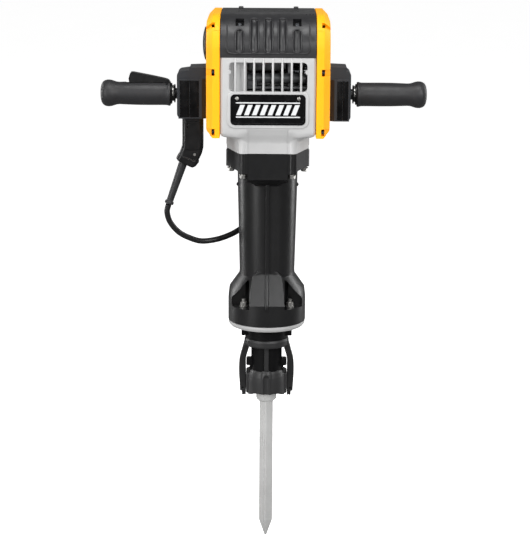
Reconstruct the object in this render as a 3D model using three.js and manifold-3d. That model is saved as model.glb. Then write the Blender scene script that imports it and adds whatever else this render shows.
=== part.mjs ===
// Electric demolition hammer with its chisel fitted, modelled as separate working parts.
// Millimetres, +Z up along the hammer axis, origin on the flat at the chisel's tip,
// +X towards the plain handle, -Y towards the front grille.
import * as THREE from "three";
import { mergeVertices } from "three/addons/utils/BufferGeometryUtils.js";
import { ConvexGeometry } from "three/addons/geometries/ConvexGeometry.js";
import Module from "manifold-3d";

const wasm = await Module();
wasm.setup();

// ---------------------------------------------------------------- driving dimensions
const GAP = 0.4; // clearance between neighbouring parts
const ROUND = 32; // sides of a large round
const SMALL_ROUND = 16; // sides of a small round

// head
const COVER_OUTER_X = 124;
const COVER_INNER_X = 96.4;
const CASE_HALF_X = 96;
const HEAD_FRONT_Y = -115;
const HEAD_BACK_Y = 107;
const CASE_BACK_Y = 92;
const HEAD_BOTTOM_Z = 885;
const SEAM_Z = 1046;
const HEAD_TOP_Z = 1128;
const FRONT_ARC_R = 67;
const REAR_ARC_R = 20;
const CASE_WALL = 10;
const CASE_FLOOR_Z = 897;

// neck and barrel
const NECK_BOTTOM_Z = 852;
const NECK_FRONT = { x: 57, y: -103 };
const NECK_SIDE = { x: 84, y: 25 };
const NECK_BACK = { x: 57, y: 80 };
const NECK_BORE_R = 44;
const BARREL_TOP_R = 62;
const BARREL_LOW_R = 57.4;
const AIR_GAP_R = 50; // relief in the barrel round the middle of the cylinder sleeve
const FLANGE_R = 81;
const FLANGE_BOTTOM_Z = 484.4;
const RING_TOP_Z = 484;
const RING_BOTTOM_Z = 473;
const HUB_BOTTOM_Z = 446;
const FLANGE_BOLTS = [
  [-48, -42],
  [48, -42],
  [-48, 42],
  [48, 42],
];
const FLANGE_BOLT_R = 4.5;

// hammer mechanism, all on the hammer axis
const SLEEVE_BORE_R = 33;
const SLEEVE_R = 38;
const SLEEVE_BOTTOM_Z = 566.4;
const SLEEVE_TOP_Z = 865;
const SLIDER_R = 32.6;
const WRIST_Z = 828;
const CRANK_Z = 925;
const CRANK_THROW = 25;
const CRANK_PIN_R = 8;
const WRIST_PIN_R = 8;
const PISTON_BOTTOM_Z = 790;
const PISTON_TOP_Z = 850;
const RAM_BOTTOM_Z = 609;
const RAM_TOP_Z = 694;
const STRIKER_HEAD_Z = 566.8;
const STRIKER_TOP_Z = 590;
const STRIKER_BOTTOM_Z = 498.8;
const STRIKER_R = 20;

// drive train, shafts along X
const MOTOR_Z = 1060;
const FAST_MODULE = 2;
const SLOW_MODULE = 3;
const MOTOR_TEETH = 9;
const LAYSHAFT_GEAR_TEETH = 47;
const LAYSHAFT_PINION_TEETH = 12;
const CRANK_GEAR_TEETH = 42;
const PRESSURE_ANGLE = (25 * Math.PI) / 180;
const BACKLASH = 0.3;
const FAST_GEAR_X = [73, 84];
const SLOW_GEAR_X = [52, 68];
const WEB_X = [40, 50];
const SIDE_WALL_X = [86, 96];

// chisel and retainer
const HEX_ACROSS_FLATS = 28.6;
const BIT_TOP_Z = 498;
const POINT_Z = 37;
const COLLAR_R = 21.5;
const COLLAR_Z = [308, 341];
const COLLAR_FLANGE_R = 26.5;
const COLLAR_FLANGE_TOP_Z = 352;
const RETAINER_Y = 29;
const RETAINER_Z = 333;
const RETAINER_R = 7;

// handles, which pivot about Y inside their brackets
const PIVOT_X = 150;
const HANDLE_Z = 960;
const ARM_R = 11;
const GRIP_R = 24.25;
const GRIP_LENGTH = 140;
const LEFT_GRIP_X = -200;
const RIGHT_GRIP_X = 182;
const TRIGGER_PIVOT = { x: -207, z: 981.5 };

// ---------------------------------------------------------------- materials
const FINISHES = {
  yellow: [0xf5b012, 0.42, 0.0],
  silver: [0xc9cbcc, 0.45, 0.6],
  black: [0x1d1e20, 0.55, 0.0],
  satinBlack: [0x2a2b2d, 0.5, 0.1],
  rubber: [0x17181a, 0.85, 0.0],
  steel: [0xa9abad, 0.35, 0.9],
  darkSteel: [0x6e7072, 0.4, 0.9],
  bronze: [0xa9793c, 0.4, 0.85],
  copper: [0xb5652f, 0.35, 0.9],
  lamination: [0x55585c, 0.6, 0.7],
};

// ---------------------------------------------------------------- solid helpers
function closedMesh(geometry, flip) {
  const bare = new THREE.BufferGeometry();
  bare.setAttribute("position", geometry.getAttribute("position").clone());
  if (geometry.index) bare.setIndex(geometry.index.clone());
  const welded = mergeVertices(bare, 1e-4);
  const index = welded.index.array;
  const triangles = [];
  for (let i = 0; i < index.length; i += 3) {
    const [a, b, c] = [index[i], index[i + 1], index[i + 2]];
    const collapsed = a === b || b === c || a === c;
    if (!collapsed) triangles.push(a, flip ? c : b, flip ? b : c);
  }
  return new wasm.Mesh({
    numProp: 3,
    vertProperties: new Float32Array(welded.getAttribute("position").array),
    triVerts: new Uint32Array(triangles),
  });
}

function toSolid(geometry) {
  const solid = new wasm.Manifold(closedMesh(geometry, false));
  return solid.volume() > 0 ? solid : new wasm.Manifold(closedMesh(geometry, true));
}

function union(...solids) {
  return solids.reduce((sum, next) => sum.add(next));
}

function cut(solid, ...tools) {
  return tools.reduce((rest, tool) => rest.subtract(tool), solid);
}

function block(x, y, z) {
  const geometry = new THREE.BoxGeometry(x[1] - x[0], y[1] - y[0], z[1] - z[0]);
  geometry.translate((x[0] + x[1]) / 2, (y[0] + y[1]) / 2, (z[0] + z[1]) / 2);
  return toSolid(geometry);
}

function extrude(points, depth, bevel) {
  const shape = new THREE.Shape(points.map(([u, v]) => new THREE.Vector2(u, v)));
  return new THREE.ExtrudeGeometry(shape, {
    depth: depth - 2 * bevel,
    bevelEnabled: bevel > 0,
    bevelThickness: bevel,
    bevelSize: bevel,
    bevelOffset: -bevel,
    bevelSegments: 1,
  }).translate(0, 0, bevel);
}

// outline in (y, z), extruded along x
function prismX(points, x, bevel = 0) {
  const geometry = extrude(points, x[1] - x[0], bevel);
  const basis = new THREE.Matrix4().makeBasis(
    new THREE.Vector3(0, 1, 0),
    new THREE.Vector3(0, 0, 1),
    new THREE.Vector3(1, 0, 0),
  );
  return toSolid(geometry.applyMatrix4(basis).translate(x[0], 0, 0));
}

// outline in (x, z), extruded along y
function prismY(points, y, bevel = 0) {
  const geometry = extrude(points, y[1] - y[0], bevel);
  return toSolid(geometry.rotateX(Math.PI / 2).translate(0, y[1], 0));
}

// outline in (x, y), extruded along z
function prismZ(points, z, bevel = 0) {
  return toSolid(extrude(points, z[1] - z[0], bevel).translate(0, 0, z[0]));
}

function rod(axis, radius, span, [u, v] = [0, 0], sides = ROUND) {
  const length = span[1] - span[0];
  const middle = (span[0] + span[1]) / 2;
  const geometry = new THREE.CylinderGeometry(radius, radius, length, sides);
  if (axis === "x") geometry.rotateZ(-Math.PI / 2).translate(middle, u, v);
  if (axis === "y") geometry.translate(u, middle, v);
  if (axis === "z") geometry.rotateX(Math.PI / 2).translate(u, v, middle);
  return toSolid(geometry);
}

// profile of [radius, position along the axis]
function turned(axis, profile, [u, v] = [0, 0], sides = ROUND) {
  const points = profile.map(([r, h]) => new THREE.Vector2(r, h));
  const geometry = new THREE.LatheGeometry(points, sides);
  if (axis === "x") geometry.rotateZ(-Math.PI / 2).translate(0, u, v);
  if (axis === "y") geometry.translate(u, 0, v);
  if (axis === "z") geometry.rotateX(Math.PI / 2).translate(u, v, 0);
  return toSolid(geometry);
}

function ring(axis, inner, outer, span, centre = [0, 0], sides = ROUND) {
  const past = [span[0] - 1, span[1] + 1];
  return rod(axis, outer, span, centre, sides).subtract(rod(axis, inner, past, centre, sides));
}

function hull(points) {
  return toSolid(new ConvexGeometry(points.map((p) => new THREE.Vector3(...p))));
}

function arcPoints(centre, radius, from, to, steps) {
  const points = [];
  for (let i = 0; i <= steps; i += 1) {
    const angle = ((from + ((to - from) * i) / steps) * Math.PI) / 180;
    points.push([centre[0] + radius * Math.cos(angle), centre[1] + radius * Math.sin(angle)]);
  }
  return points;
}

function roundedRectangle(u, v, radius, steps = 4) {
  return [
    ...arcPoints([u[1] - radius, v[1] - radius], radius, 0, 90, steps),
    ...arcPoints([u[0] + radius, v[1] - radius], radius, 90, 180, steps),
    ...arcPoints([u[0] + radius, v[0] + radius], radius, 180, 270, steps),
    ...arcPoints([u[1] - radius, v[0] + radius], radius, 270, 360, steps),
  ];
}

function hexagon(acrossFlats, turnDegrees, [u, v] = [0, 0]) {
  const radius = acrossFlats / Math.sqrt(3);
  return arcPoints([u, v], radius, turnDegrees, turnDegrees + 300, 5);
}

function atHeight(points, z) {
  return points.map(([x, y]) => [x, y, z]);
}

function mirrored(points) {
  return points.map(([u, v]) => [-u, v]).reverse();
}

// ---------------------------------------------------------------- gears
function involutePolar(baseRadius, radius) {
  const roll = Math.sqrt(Math.max((radius / baseRadius) ** 2 - 1, 0));
  return roll - Math.atan(roll);
}

// spur gear outline with one tooth centred on toothAngle
function gearOutline(teeth, gearModule, toothAngle) {
  const pitchR = (teeth * gearModule) / 2;
  const tipR = pitchR + 0.8 * gearModule;
  const rootR = pitchR - 1.05 * gearModule;
  const baseR = pitchR * Math.cos(PRESSURE_ANGLE);
  const flankStartR = Math.max(baseR, rootR);
  const pitchHalfAngle = Math.PI / (2 * teeth) - BACKLASH / (4 * pitchR);
  const atPitch = involutePolar(baseR, pitchR);
  const halfAngle = (r) => pitchHalfAngle + atPitch - involutePolar(baseR, r);
  const flank = [
    [flankStartR, halfAngle(flankStartR)],
    [pitchR, halfAngle(pitchR)],
    [tipR, halfAngle(tipR)],
  ];
  if (flankStartR > rootR) flank.unshift([rootR, halfAngle(flankStartR) * 0.9]);
  const points = [];
  for (let tooth = 0; tooth < teeth; tooth += 1) {
    const middle = toothAngle + (2 * Math.PI * tooth) / teeth;
    const rising = flank.map(([r, a]) => [r, middle - a]);
    const falling = flank.map(([r, a]) => [r, middle + a]).reverse();
    for (const [r, angle] of [...rising, ...falling]) {
      points.push([r * Math.cos(angle), r * Math.sin(angle)]);
    }
  }
  return points;
}

function shifted(points, [u, v]) {
  return points.map(([a, b]) => [a + u, b + v]);
}

const fastCentres = (FAST_MODULE * (MOTOR_TEETH + LAYSHAFT_GEAR_TEETH)) / 2;
const slowCentres = (SLOW_MODULE * (LAYSHAFT_PINION_TEETH + CRANK_GEAR_TEETH)) / 2;
const shaftDrop = MOTOR_Z - CRANK_Z;
const layshaftRise = (slowCentres ** 2 - fastCentres ** 2 + shaftDrop ** 2) / (2 * shaftDrop);
const LAYSHAFT = [Math.sqrt(slowCentres ** 2 - layshaftRise ** 2), CRANK_Z + layshaftRise];
const CRANK = [0, CRANK_Z];
const MOTOR = [0, MOTOR_Z];
const crankToLayshaft = Math.atan2(LAYSHAFT[1] - CRANK[1], LAYSHAFT[0] - CRANK[0]);
const layshaftToMotor = Math.atan2(MOTOR[1] - LAYSHAFT[1], MOTOR[0] - LAYSHAFT[0]);

// ---------------------------------------------------------------- assembly
const assembly = new THREE.Group();
assembly.name = "demolition_hammer";

function addPart(name, finish, solid) {
  const [colour, roughness, metalness] = FINISHES[finish];
  const mesh = solid.getMesh();
  const geometry = new THREE.BufferGeometry();
  geometry.setAttribute("position", new THREE.BufferAttribute(mesh.vertProperties, 3));
  geometry.setIndex(new THREE.BufferAttribute(mesh.triVerts, 1));
  geometry.computeVertexNormals();
  const material = new THREE.MeshStandardMaterial({ color: colour, roughness, metalness });
  const part = new THREE.Mesh(geometry, material);
  part.name = name;
  assembly.add(part);
}

// ---------------------------------------------------------------- head
// side profile of the head in (y, z), pulled in by inset
function headProfile(inset) {
  const front = HEAD_FRONT_Y + inset;
  const back = HEAD_BACK_Y - inset;
  const bottom = HEAD_BOTTOM_Z + inset;
  const frontArc = [HEAD_FRONT_Y + FRONT_ARC_R, HEAD_TOP_Z - FRONT_ARC_R];
  const rearArc = [HEAD_BACK_Y - REAR_ARC_R, HEAD_TOP_Z - REAR_ARC_R];
  return [
    [back, bottom],
    ...arcPoints(rearArc, REAR_ARC_R - inset, 0, 90, 5),
    ...arcPoints(frontArc, FRONT_ARC_R - inset, 90, 180, 12),
    [front, bottom],
  ];
}

function sideCover(side) {
  const chamfer = 13;
  const outer = prismX(headProfile(0), [-COVER_OUTER_X, COVER_OUTER_X], chamfer);
  const cavity = prismX(headProfile(8), [COVER_INNER_X - 1, COVER_OUTER_X - 10]);
  const everything = [-200, 1200];
  const half = block([COVER_INNER_X, 200], everything, everything);
  const cover = outer.intersect(half).subtract(cavity);
  return side > 0 ? cover : cover.mirror([1, 0, 0]);
}

const INTAKE = { y: 10, z: 1062, hole: 30, flange: 35 };
const intakeHole = rod("x", INTAKE.hole, [-130, -90], [INTAKE.y, INTAKE.z]);
addPart("side_cover_left", "yellow", sideCover(-1).subtract(intakeHole));
addPart("side_cover_right", "yellow", sideCover(1));

const intakeProfile = [
  [0, -134],
  [26, -134],
  [33, -131],
  [INTAKE.flange, -127],
  [INTAKE.flange, -COVER_OUTER_X - GAP],
  [INTAKE.hole - GAP, -COVER_OUTER_X - GAP],
  [INTAKE.hole - GAP, -116],
  [24, -116],
  [24, -128],
  [0, -128],
];
addPart("intake_cap", "black", turned("x", intakeProfile, [INTAKE.y, INTAKE.z]));

// hood: curved shell with a sunken, ribbed panel over the front arc
function topHood() {
  const span = [-CASE_HALF_X + GAP, CASE_HALF_X - GAP];
  const wide = [-CASE_HALF_X, CASE_HALF_X];
  const above = block(wide, [-200, 200], [SEAM_Z + GAP, 1200]);
  const outer = prismX(headProfile(0), span).intersect(above);
  const hollow = prismX(headProfile(8), wide);
  const skin = prismX(headProfile(-1), wide).subtract(prismX(headProfile(4), wide));
  const panelX = [-82, 82];
  const panelOutline = [
    [-130, 1058],
    [-60, 1058],
    [-10, 1110],
    [-10, 1140],
    [-130, 1140],
  ];
  let panel = skin.intersect(prismX(panelOutline, panelX));
  const longRibs = [-28, 0, 28];
  const shortRibs = [-57, 57];
  for (const x of longRibs) {
    panel = panel.subtract(block([x - 9, x + 9], [-130, -16], [1064, 1140]));
  }
  for (const x of shortRibs) {
    panel = panel.subtract(block([x - 9, x + 9], [-130, -60], [1064, 1140]));
  }
  return cut(outer, hollow, panel);
}
addPart("top_hood", "black", topHood());

// gear case: hollow casting with shoulders, neck, front grille and bearing webs
const neckOutline = [
  [NECK_FRONT.x, NECK_FRONT.y],
  [NECK_SIDE.x, -NECK_SIDE.y],
  [NECK_SIDE.x, NECK_SIDE.y],
  [NECK_BACK.x, NECK_BACK.y],
  [-NECK_BACK.x, NECK_BACK.y],
  [-NECK_SIDE.x, NECK_SIDE.y],
  [-NECK_SIDE.x, -NECK_SIDE.y],
  [-NECK_FRONT.x, NECK_FRONT.y],
];
const COLLAR_BOLTS = [
  [-52.5, -89],
  [52.5, -89],
  [-76, 18],
  [76, 18],
];
const COLLAR_BOLT_R = 4.2;
const GRILLE = { x: [-78, 78], z: [979, 1037], corner: 7, bars: 8, pitch: 18.7, bar: 3.4 };

function gearCase() {
  const boxOutline = roundedRectangle([-CASE_HALF_X, CASE_HALF_X], [HEAD_FRONT_Y, CASE_BACK_Y], 6, 2);
  const box = prismZ(boxOutline, [CASE_FLOOR_Z, SEAM_Z]);
  const shoulderTop = atHeight(boxOutline, CASE_FLOOR_Z + 1);
  const shoulderLow = atHeight(neckOutline, HEAD_BOTTOM_Z - 13);
  const shoulders = hull([...shoulderTop, ...shoulderLow]);
  const neck = prismZ(neckOutline, [NECK_BOTTOM_Z + 0.2, HEAD_BOTTOM_Z]);
  let shell = union(box, shoulders, neck);

  const inside = CASE_HALF_X - CASE_WALL;
  const cavity = block([-inside, inside], [-103, 80], [CASE_FLOOR_Z, SEAM_Z + 1]);
  const gearWell = rod("x", 67.6, [SLOW_GEAR_X[0] - 1, SLOW_GEAR_X[1] + 1.5], CRANK);
  const neckBore = rod("z", NECK_BORE_R, [NECK_BOTTOM_Z - 1, CASE_FLOOR_Z + 1]);
  const grilleHole = prismY(roundedRectangle(GRILLE.x, GRILLE.z, GRILLE.corner), [-120, -100]);
  shell = cut(shell, cavity, gearWell, neckBore, grilleHole);

  for (let i = 0; i < GRILLE.bars; i += 1) {
    const x = (i - (GRILLE.bars - 1) / 2) * GRILLE.pitch;
    const half = GRILLE.bar / 2;
    const height = [GRILLE.z[0] - 1, GRILLE.z[1] + 1];
    shell = shell.add(block([x - half, x + half], [-114, -105], height));
  }

  const liner = block([-inside - 1, -43], [-104, -94], [972, SEAM_Z - 1]);
  const plateUpstand = union(
    rod("x", 30, WEB_X, MOTOR),
    block(WEB_X, [-30, 30], [SEAM_Z - 20, MOTOR_Z]),
  );
  const web = union(block(WEB_X, [-60, 81], [CASE_FLOOR_Z - 1, SEAM_Z]), plateUpstand);
  const leftCarrier = union(
    rod("x", 30, [-95.4, -86], MOTOR),
    block([-95.4, -86], [-30, 30], [SEAM_Z - 20, MOTOR_Z]),
  );
  const cradle = block([-40, -30], [-60, 81], [975, SEAM_Z]);
  shell = union(shell, liner, web, leftCarrier, cradle);

  const holes = [
    rod("x", 22.4, [WEB_X[0] - 1, WEB_X[1] + 1], CRANK),
    rod("x", 13.4, [WEB_X[0] - 1, WEB_X[1] + 1], LAYSHAFT),
    rod("x", 16.4, [WEB_X[0] - 1, WEB_X[1] + 1], MOTOR),
    rod("x", 22.4, [SIDE_WALL_X[0] - 1, SIDE_WALL_X[1] + 1], CRANK),
    rod("x", 13.4, [SIDE_WALL_X[0] - 1, SIDE_WALL_X[1] + 1], LAYSHAFT),
    rod("x", 16.4, [-97, -85], MOTOR),
    rod("x", 52.4, [-60, 38], MOTOR),
    ...COLLAR_BOLTS.map((at) => rod("z", COLLAR_BOLT_R + GAP, [850, 870], at, SMALL_ROUND)),
  ];
  return cut(shell, ...holes);
}
addPart("gear_case", "silver", gearCase());

const backOutline = roundedRectangle([-84, 84], [900, 1038], 10);
let rearCover = prismY(backOutline, [CASE_BACK_Y + GAP, HEAD_BACK_Y - 1], 3);
for (let i = 0; i < 5; i += 1) {
  const z = 930 + 18 * i;
  rearCover = rearCover.subtract(block([-55, 55], [90, 120], [z, z + 7]));
}
addPart("rear_cover", "black", rearCover);

const plateOutline = roundedRectangle([-75, 75], [912, 974], 9);
addPart("name_plate", "black", prismY(plateOutline, [HEAD_FRONT_Y - 3.4, HEAD_FRONT_Y - GAP], 1));

// ---------------------------------------------------------------- barrel
function barrelHousing() {
  const body = turned("z", [
    [0, FLANGE_BOTTOM_Z],
    [FLANGE_R - 1, FLANGE_BOTTOM_Z],
    [FLANGE_R, FLANGE_BOTTOM_Z + 1],
    [FLANGE_R, 520],
    [80, 535],
    [77, 548],
    [66, 564],
    [58.5, 583],
    [BARREL_LOW_R, 592],
    [BARREL_TOP_R, 760],
    [BARREL_TOP_R, 845],
    [0, 845],
  ]);
  const collar = prismZ(neckOutline, [816, NECK_BOTTOM_Z - 0.2]);
  const skirtTop = atHeight(neckOutline, 817);
  const skirtLow = atHeight(arcPoints([0, 0], BARREL_TOP_R - 1, 0, 345, 23), 778);
  const skirt = hull([...skirtTop, ...skirtLow]);
  const spine = block([-5, 5], [-66, -50], [575, 800]);
  const bosses = COLLAR_BOLTS.map((at) => rod("z", 9, [800, 840], at, SMALL_ROUND));
  let housing = union(body, collar, skirt, spine, ...bosses);

  const pocketRing = turned("z", [
    [50, 508],
    [73, 508],
    [73, 520],
    [95, 520],
    [95, 600],
    [50, 600],
    [50, 508],
  ]);
  for (const sx of [-1, 1]) {
    for (const sy of [-1, 1]) {
      const x = [Math.min(sx * 36, sx * 95), Math.max(sx * 36, sx * 95)];
      const y = [Math.min(sy * 24, sy * 95), Math.max(sy * 24, sy * 95)];
      housing = housing.subtract(pocketRing.intersect(block(x, y, [500, 601])));
    }
  }

  const bore = turned("z", [
    [0, FLANGE_BOTTOM_Z - 1],
    [24.4, FLANGE_BOTTOM_Z - 1],
    [24.4, 493],
    [STRIKER_R + 0.6, 493],
    [STRIKER_R + 0.6, 560],
    [SLEEVE_R + GAP, 560],
    [SLEEVE_R + GAP, 600],
    [AIR_GAP_R, 612],
    [AIR_GAP_R, 770],
    [SLEEVE_R + GAP, 782],
    [SLEEVE_R + GAP, NECK_BOTTOM_Z + 1],
    [0, NECK_BOTTOM_Z + 1],
  ]);
  const collarHoles = COLLAR_BOLTS.map((at) =>
    rod("z", COLLAR_BOLT_R + GAP, [799, 853], at, SMALL_ROUND),
  );
  const flangeHoles = FLANGE_BOLTS.map((at) =>
    rod("z", FLANGE_BOLT_R + GAP, [480, 515], at, SMALL_ROUND),
  );
  const headSeats = COLLAR_BOLTS.map((at) => rod("z", 10.5, [770, 800], at, SMALL_ROUND));
  return cut(housing, bore, ...collarHoles, ...flangeHoles, ...headSeats);
}
addPart("barrel_housing", "satinBlack", barrelHousing());

function bolt(at, shankR, shank, head, acrossFlats) {
  const hexHead = prismZ(hexagon(acrossFlats, 0, at), head);
  return hexHead.add(rod("z", shankR, shank, at, SMALL_ROUND));
}
COLLAR_BOLTS.forEach((at, i) => {
  const screw = bolt(at, COLLAR_BOLT_R, [795, 868], [791, 799.6], 13);
  addPart(`collar_bolt_${i + 1}`, "steel", screw);
});
FLANGE_BOLTS.forEach((at, i) => {
  const screw = bolt(at, FLANGE_BOLT_R, [475, 515], [508.4, 519], 14);
  addPart(`flange_bolt_${i + 1}`, "steel", screw);
});

const ringProfile = [
  [24.4, RING_BOTTOM_Z],
  [76, RING_BOTTOM_Z],
  [80, RING_BOTTOM_Z + 5],
  [80, RING_TOP_Z],
  [24.4, RING_TOP_Z],
  [24.4, RING_BOTTOM_Z],
];
const ringHoles = FLANGE_BOLTS.map((at) => rod("z", FLANGE_BOLT_R + GAP, [470, 490], at, SMALL_ROUND));
addPart("flange_ring", "silver", cut(turned("z", ringProfile), ...ringHoles));

// ---------------------------------------------------------------- nose and retainer
function nosePiece() {
  const hub = rod("z", 45, [HUB_BOTTOM_Z, RING_BOTTOM_Z - GAP]);
  const ears = block([-53, 53], [-17, 17], [HUB_BOTTOM_Z, RING_BOTTOM_Z - GAP]);
  const neck = rod("z", 31, [365, HUB_BOTTOM_Z + 1]);
  const lugs = block([-42.6, 42.6], [-13, 13], [385, 397]);
  const posts = block([-36, 36], [-8, 16], [370, 390]);
  const rib = block([-4.5, 4.5], [-36, -20], [375, 430]);
  const cup = hull([
    ...atHeight(arcPoints([0, 0], 38, 0, 345, 23), 331),
    ...atHeight(arcPoints([0, 0], 38, 0, 345, 23), 366),
    ...atHeight(arcPoints([0, 0], 31, 0, 345, 23), 381),
  ]);
  const bulge = rod("z", 17.5, [327, 377], [0, -22], SMALL_ROUND);
  const yoke = block([-43, 43], [-6, 44], [318, 364]);
  const solid = union(hub, ears, neck, lugs, posts, rib, cup, bulge, yoke);
  const bore = turned("z", [
    [0, 300],
    [28, 300],
    [28, 372],
    [24.4, 372],
    [24.4, 480],
    [0, 480],
  ]);
  const shaftHole = rod("x", RETAINER_R + GAP, [-45, 45], [RETAINER_Y, RETAINER_Z], SMALL_ROUND);
  const groove = rod("z", 5, [320, 368], [0, -41.5], SMALL_ROUND);
  return cut(solid, bore, shaftHole, groove);
}
addPart("nose_piece", "satinBlack", nosePiece());

const bushingHole = prismZ(hexagon(HEX_ACROSS_FLATS + 0.8, 30), [370, 490]);
addPart("hex_bushing", "bronze", rod("z", 24, [372.4, 483.8]).subtract(bushingHole));

function retainerBail() {
  const front = block([-60, 60], [-60, 2], [420, 446]);
  const band = ring("z", 39, 47, [429, 443]).intersect(front);
  const sideOutline = [
    [-14, 430],
    [-14, 445],
    [9, 445],
    [12, 432],
    [24, 400],
    [41, 354],
    [43, 326],
    [36, 310],
    [21, 310],
    [15, 322],
    [13, 354],
    [1, 390],
  ].reverse();
  const frontOutline = [
    [43.6, 309],
    [52, 309],
    [56.4, 321],
    [58.2, 350],
    [58.2, 384],
    [52, 415],
    [45, 440],
    [45, 446],
    [39.6, 446],
    [41, 428],
    [43.6, 408],
  ];
  const side = prismX(sideOutline, [-60, 60]);
  const rightArm = side.intersect(prismY(frontOutline, [-60, 60]));
  const leftArm = side.intersect(prismY(mirrored(frontOutline), [-60, 60]));
  const bore = rod("x", RETAINER_R + GAP, [-60, 60], [RETAINER_Y, RETAINER_Z], SMALL_ROUND);
  const split = block([-60, 60], [RETAINER_Y - 1, RETAINER_Y + 1], [310, RETAINER_Z - 5]);
  return cut(union(band, rightArm, leftArm), bore, split);
}
addPart("retainer_bail", "satinBlack", retainerBail());

// the flat lets the chisel collar past once the bail has swung forward
function retainerShaft() {
  const flatTurn = (70 * Math.PI) / 180;
  const flatDepth = 2.2;
  const shaft = rod("x", RETAINER_R, [-54.5, 54.5], [RETAINER_Y, RETAINER_Z], SMALL_ROUND);
  const cutter = new THREE.BoxGeometry(48, 12, 24);
  cutter.translate(0, flatDepth + 6, 0);
  cutter.rotateX(flatTurn);
  cutter.translate(0, RETAINER_Y, RETAINER_Z);
  return shaft.subtract(toSolid(cutter));
}
addPart("retainer_shaft", "steel", retainerShaft());

function chiselBit() {
  const hexOutline = hexagon(HEX_ACROSS_FLATS, 30);
  const hexBar = prismZ(hexOutline, [POINT_Z, BIT_TOP_Z - 3]);
  const top = hull([
    ...atHeight(hexOutline, BIT_TOP_Z - 4),
    ...atHeight(hexagon(HEX_ACROSS_FLATS - 6, 30), BIT_TOP_Z),
  ]);
  const point = hull([...atHeight(hexOutline, POINT_Z + 1), ...atHeight(hexagon(4, 30), 0)]);
  const collar = turned("z", [
    [0, COLLAR_Z[0] - 4],
    [15, COLLAR_Z[0] - 4],
    [COLLAR_R - 3, COLLAR_Z[0]],
    [COLLAR_R, COLLAR_Z[0] + 3],
    [COLLAR_R, COLLAR_Z[1]],
    [COLLAR_FLANGE_R, COLLAR_Z[1]],
    [COLLAR_FLANGE_R, COLLAR_FLANGE_TOP_Z - 3],
    [COLLAR_FLANGE_R - 3, COLLAR_FLANGE_TOP_Z],
    [0, COLLAR_FLANGE_TOP_Z],
  ]);
  return union(hexBar, top, point, collar);
}
addPart("chisel_bit", "steel", chiselBit());

// ---------------------------------------------------------------- hammer mechanism
const sleeve = ring("z", SLEEVE_BORE_R, SLEEVE_R, [SLEEVE_BOTTOM_Z, SLEEVE_TOP_Z]);
addPart("cylinder_sleeve", "steel", sleeve);
addPart("buffer_ring", "rubber", ring("z", 21.4, 37.8, [560.4, 566]));
addPart("dust_seal", "rubber", ring("z", 17.2, 24, [484.8, 492.6], [0, 0], SMALL_ROUND));

const striker = turned("z", [
  [0, STRIKER_BOTTOM_Z],
  [STRIKER_R - 3, STRIKER_BOTTOM_Z],
  [STRIKER_R, STRIKER_BOTTOM_Z + 3],
  [STRIKER_R, STRIKER_HEAD_Z],
  [SLIDER_R, STRIKER_HEAD_Z],
  [SLIDER_R, STRIKER_TOP_Z - 8],
  [22, STRIKER_TOP_Z],
  [0, STRIKER_TOP_Z],
]);
addPart("beat_piece", "darkSteel", striker);

const ram = turned("z", [
  [0, RAM_BOTTOM_Z],
  [22, RAM_BOTTOM_Z],
  [SLIDER_R, RAM_BOTTOM_Z + 8],
  [SLIDER_R, 660],
  [29.5, 660],
  [29.5, 665],
  [SLIDER_R, 665],
  [SLIDER_R, RAM_TOP_Z],
  [0, RAM_TOP_Z],
]);
addPart("ram", "darkSteel", ram);

function drivePiston() {
  const crown = turned("z", [
    [0, PISTON_BOTTOM_Z],
    [SLIDER_R, PISTON_BOTTOM_Z],
    [SLIDER_R, 797],
    [30, 797],
    [30, 801],
    [SLIDER_R, 801],
    [SLIDER_R, PISTON_TOP_Z],
    [0, PISTON_TOP_Z],
  ]);
  const slot = block([-10.5, 10.5], [-22, 22], [810, 852]);
  const pinHole = rod("x", WRIST_PIN_R + GAP, [-40, 40], [0, WRIST_Z], SMALL_ROUND);
  return cut(crown, slot, pinHole);
}
addPart("drive_piston", "steel", drivePiston());
addPart("wrist_pin", "steel", rod("x", WRIST_PIN_R, [-30, 30], [0, WRIST_Z], SMALL_ROUND));

function connectingRod() {
  const pinZ = CRANK_Z + CRANK_THROW;
  const bigEnd = rod("x", 17.5, [-9, 9], [0, pinZ], 32);
  const smallEnd = rod("x", 14, [-9, 9], [0, WRIST_Z], 32);
  const shank = block([-7, 7], [-9, 9], [WRIST_Z, pinZ]);
  const holes = [
    rod("x", CRANK_PIN_R + GAP, [-12, 12], [0, pinZ], SMALL_ROUND),
    rod("x", WRIST_PIN_R + GAP, [-12, 12], [0, WRIST_Z], SMALL_ROUND),
  ];
  return cut(union(bigEnd, smallEnd, shank), ...holes);
}
addPart("connecting_rod", "darkSteel", connectingRod());
const crankPinAt = [0, CRANK_Z + CRANK_THROW];
addPart("crank_pin", "steel", rod("x", CRANK_PIN_R, [-10, 13.6], crankPinAt, SMALL_ROUND));

const crankshaft = turned(
  "x",
  [
    [0, 14],
    [37, 14],
    [38, 15],
    [38, 26],
    [16, 26],
    [16, 38],
    [12, 38],
    [12, 94],
    [0, 94],
  ],
  CRANK,
);
addPart("crankshaft", "darkSteel", crankshaft);

const crankGearOutline = shifted(
  gearOutline(CRANK_GEAR_TEETH, SLOW_MODULE, crankToLayshaft),
  CRANK,
);
let crankGear = prismX(crankGearOutline, SLOW_GEAR_X);
crankGear = crankGear.subtract(rod("x", 12 + GAP, [50, 70], CRANK));
for (let i = 0; i < 6; i += 1) {
  const angle = (Math.PI * i) / 3;
  const at = [CRANK[0] + 36 * Math.cos(angle), CRANK[1] + 36 * Math.sin(angle)];
  crankGear = crankGear.subtract(rod("x", 9, [50, 70], at, 16));
}
addPart("crank_gear", "steel", crankGear);

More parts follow.
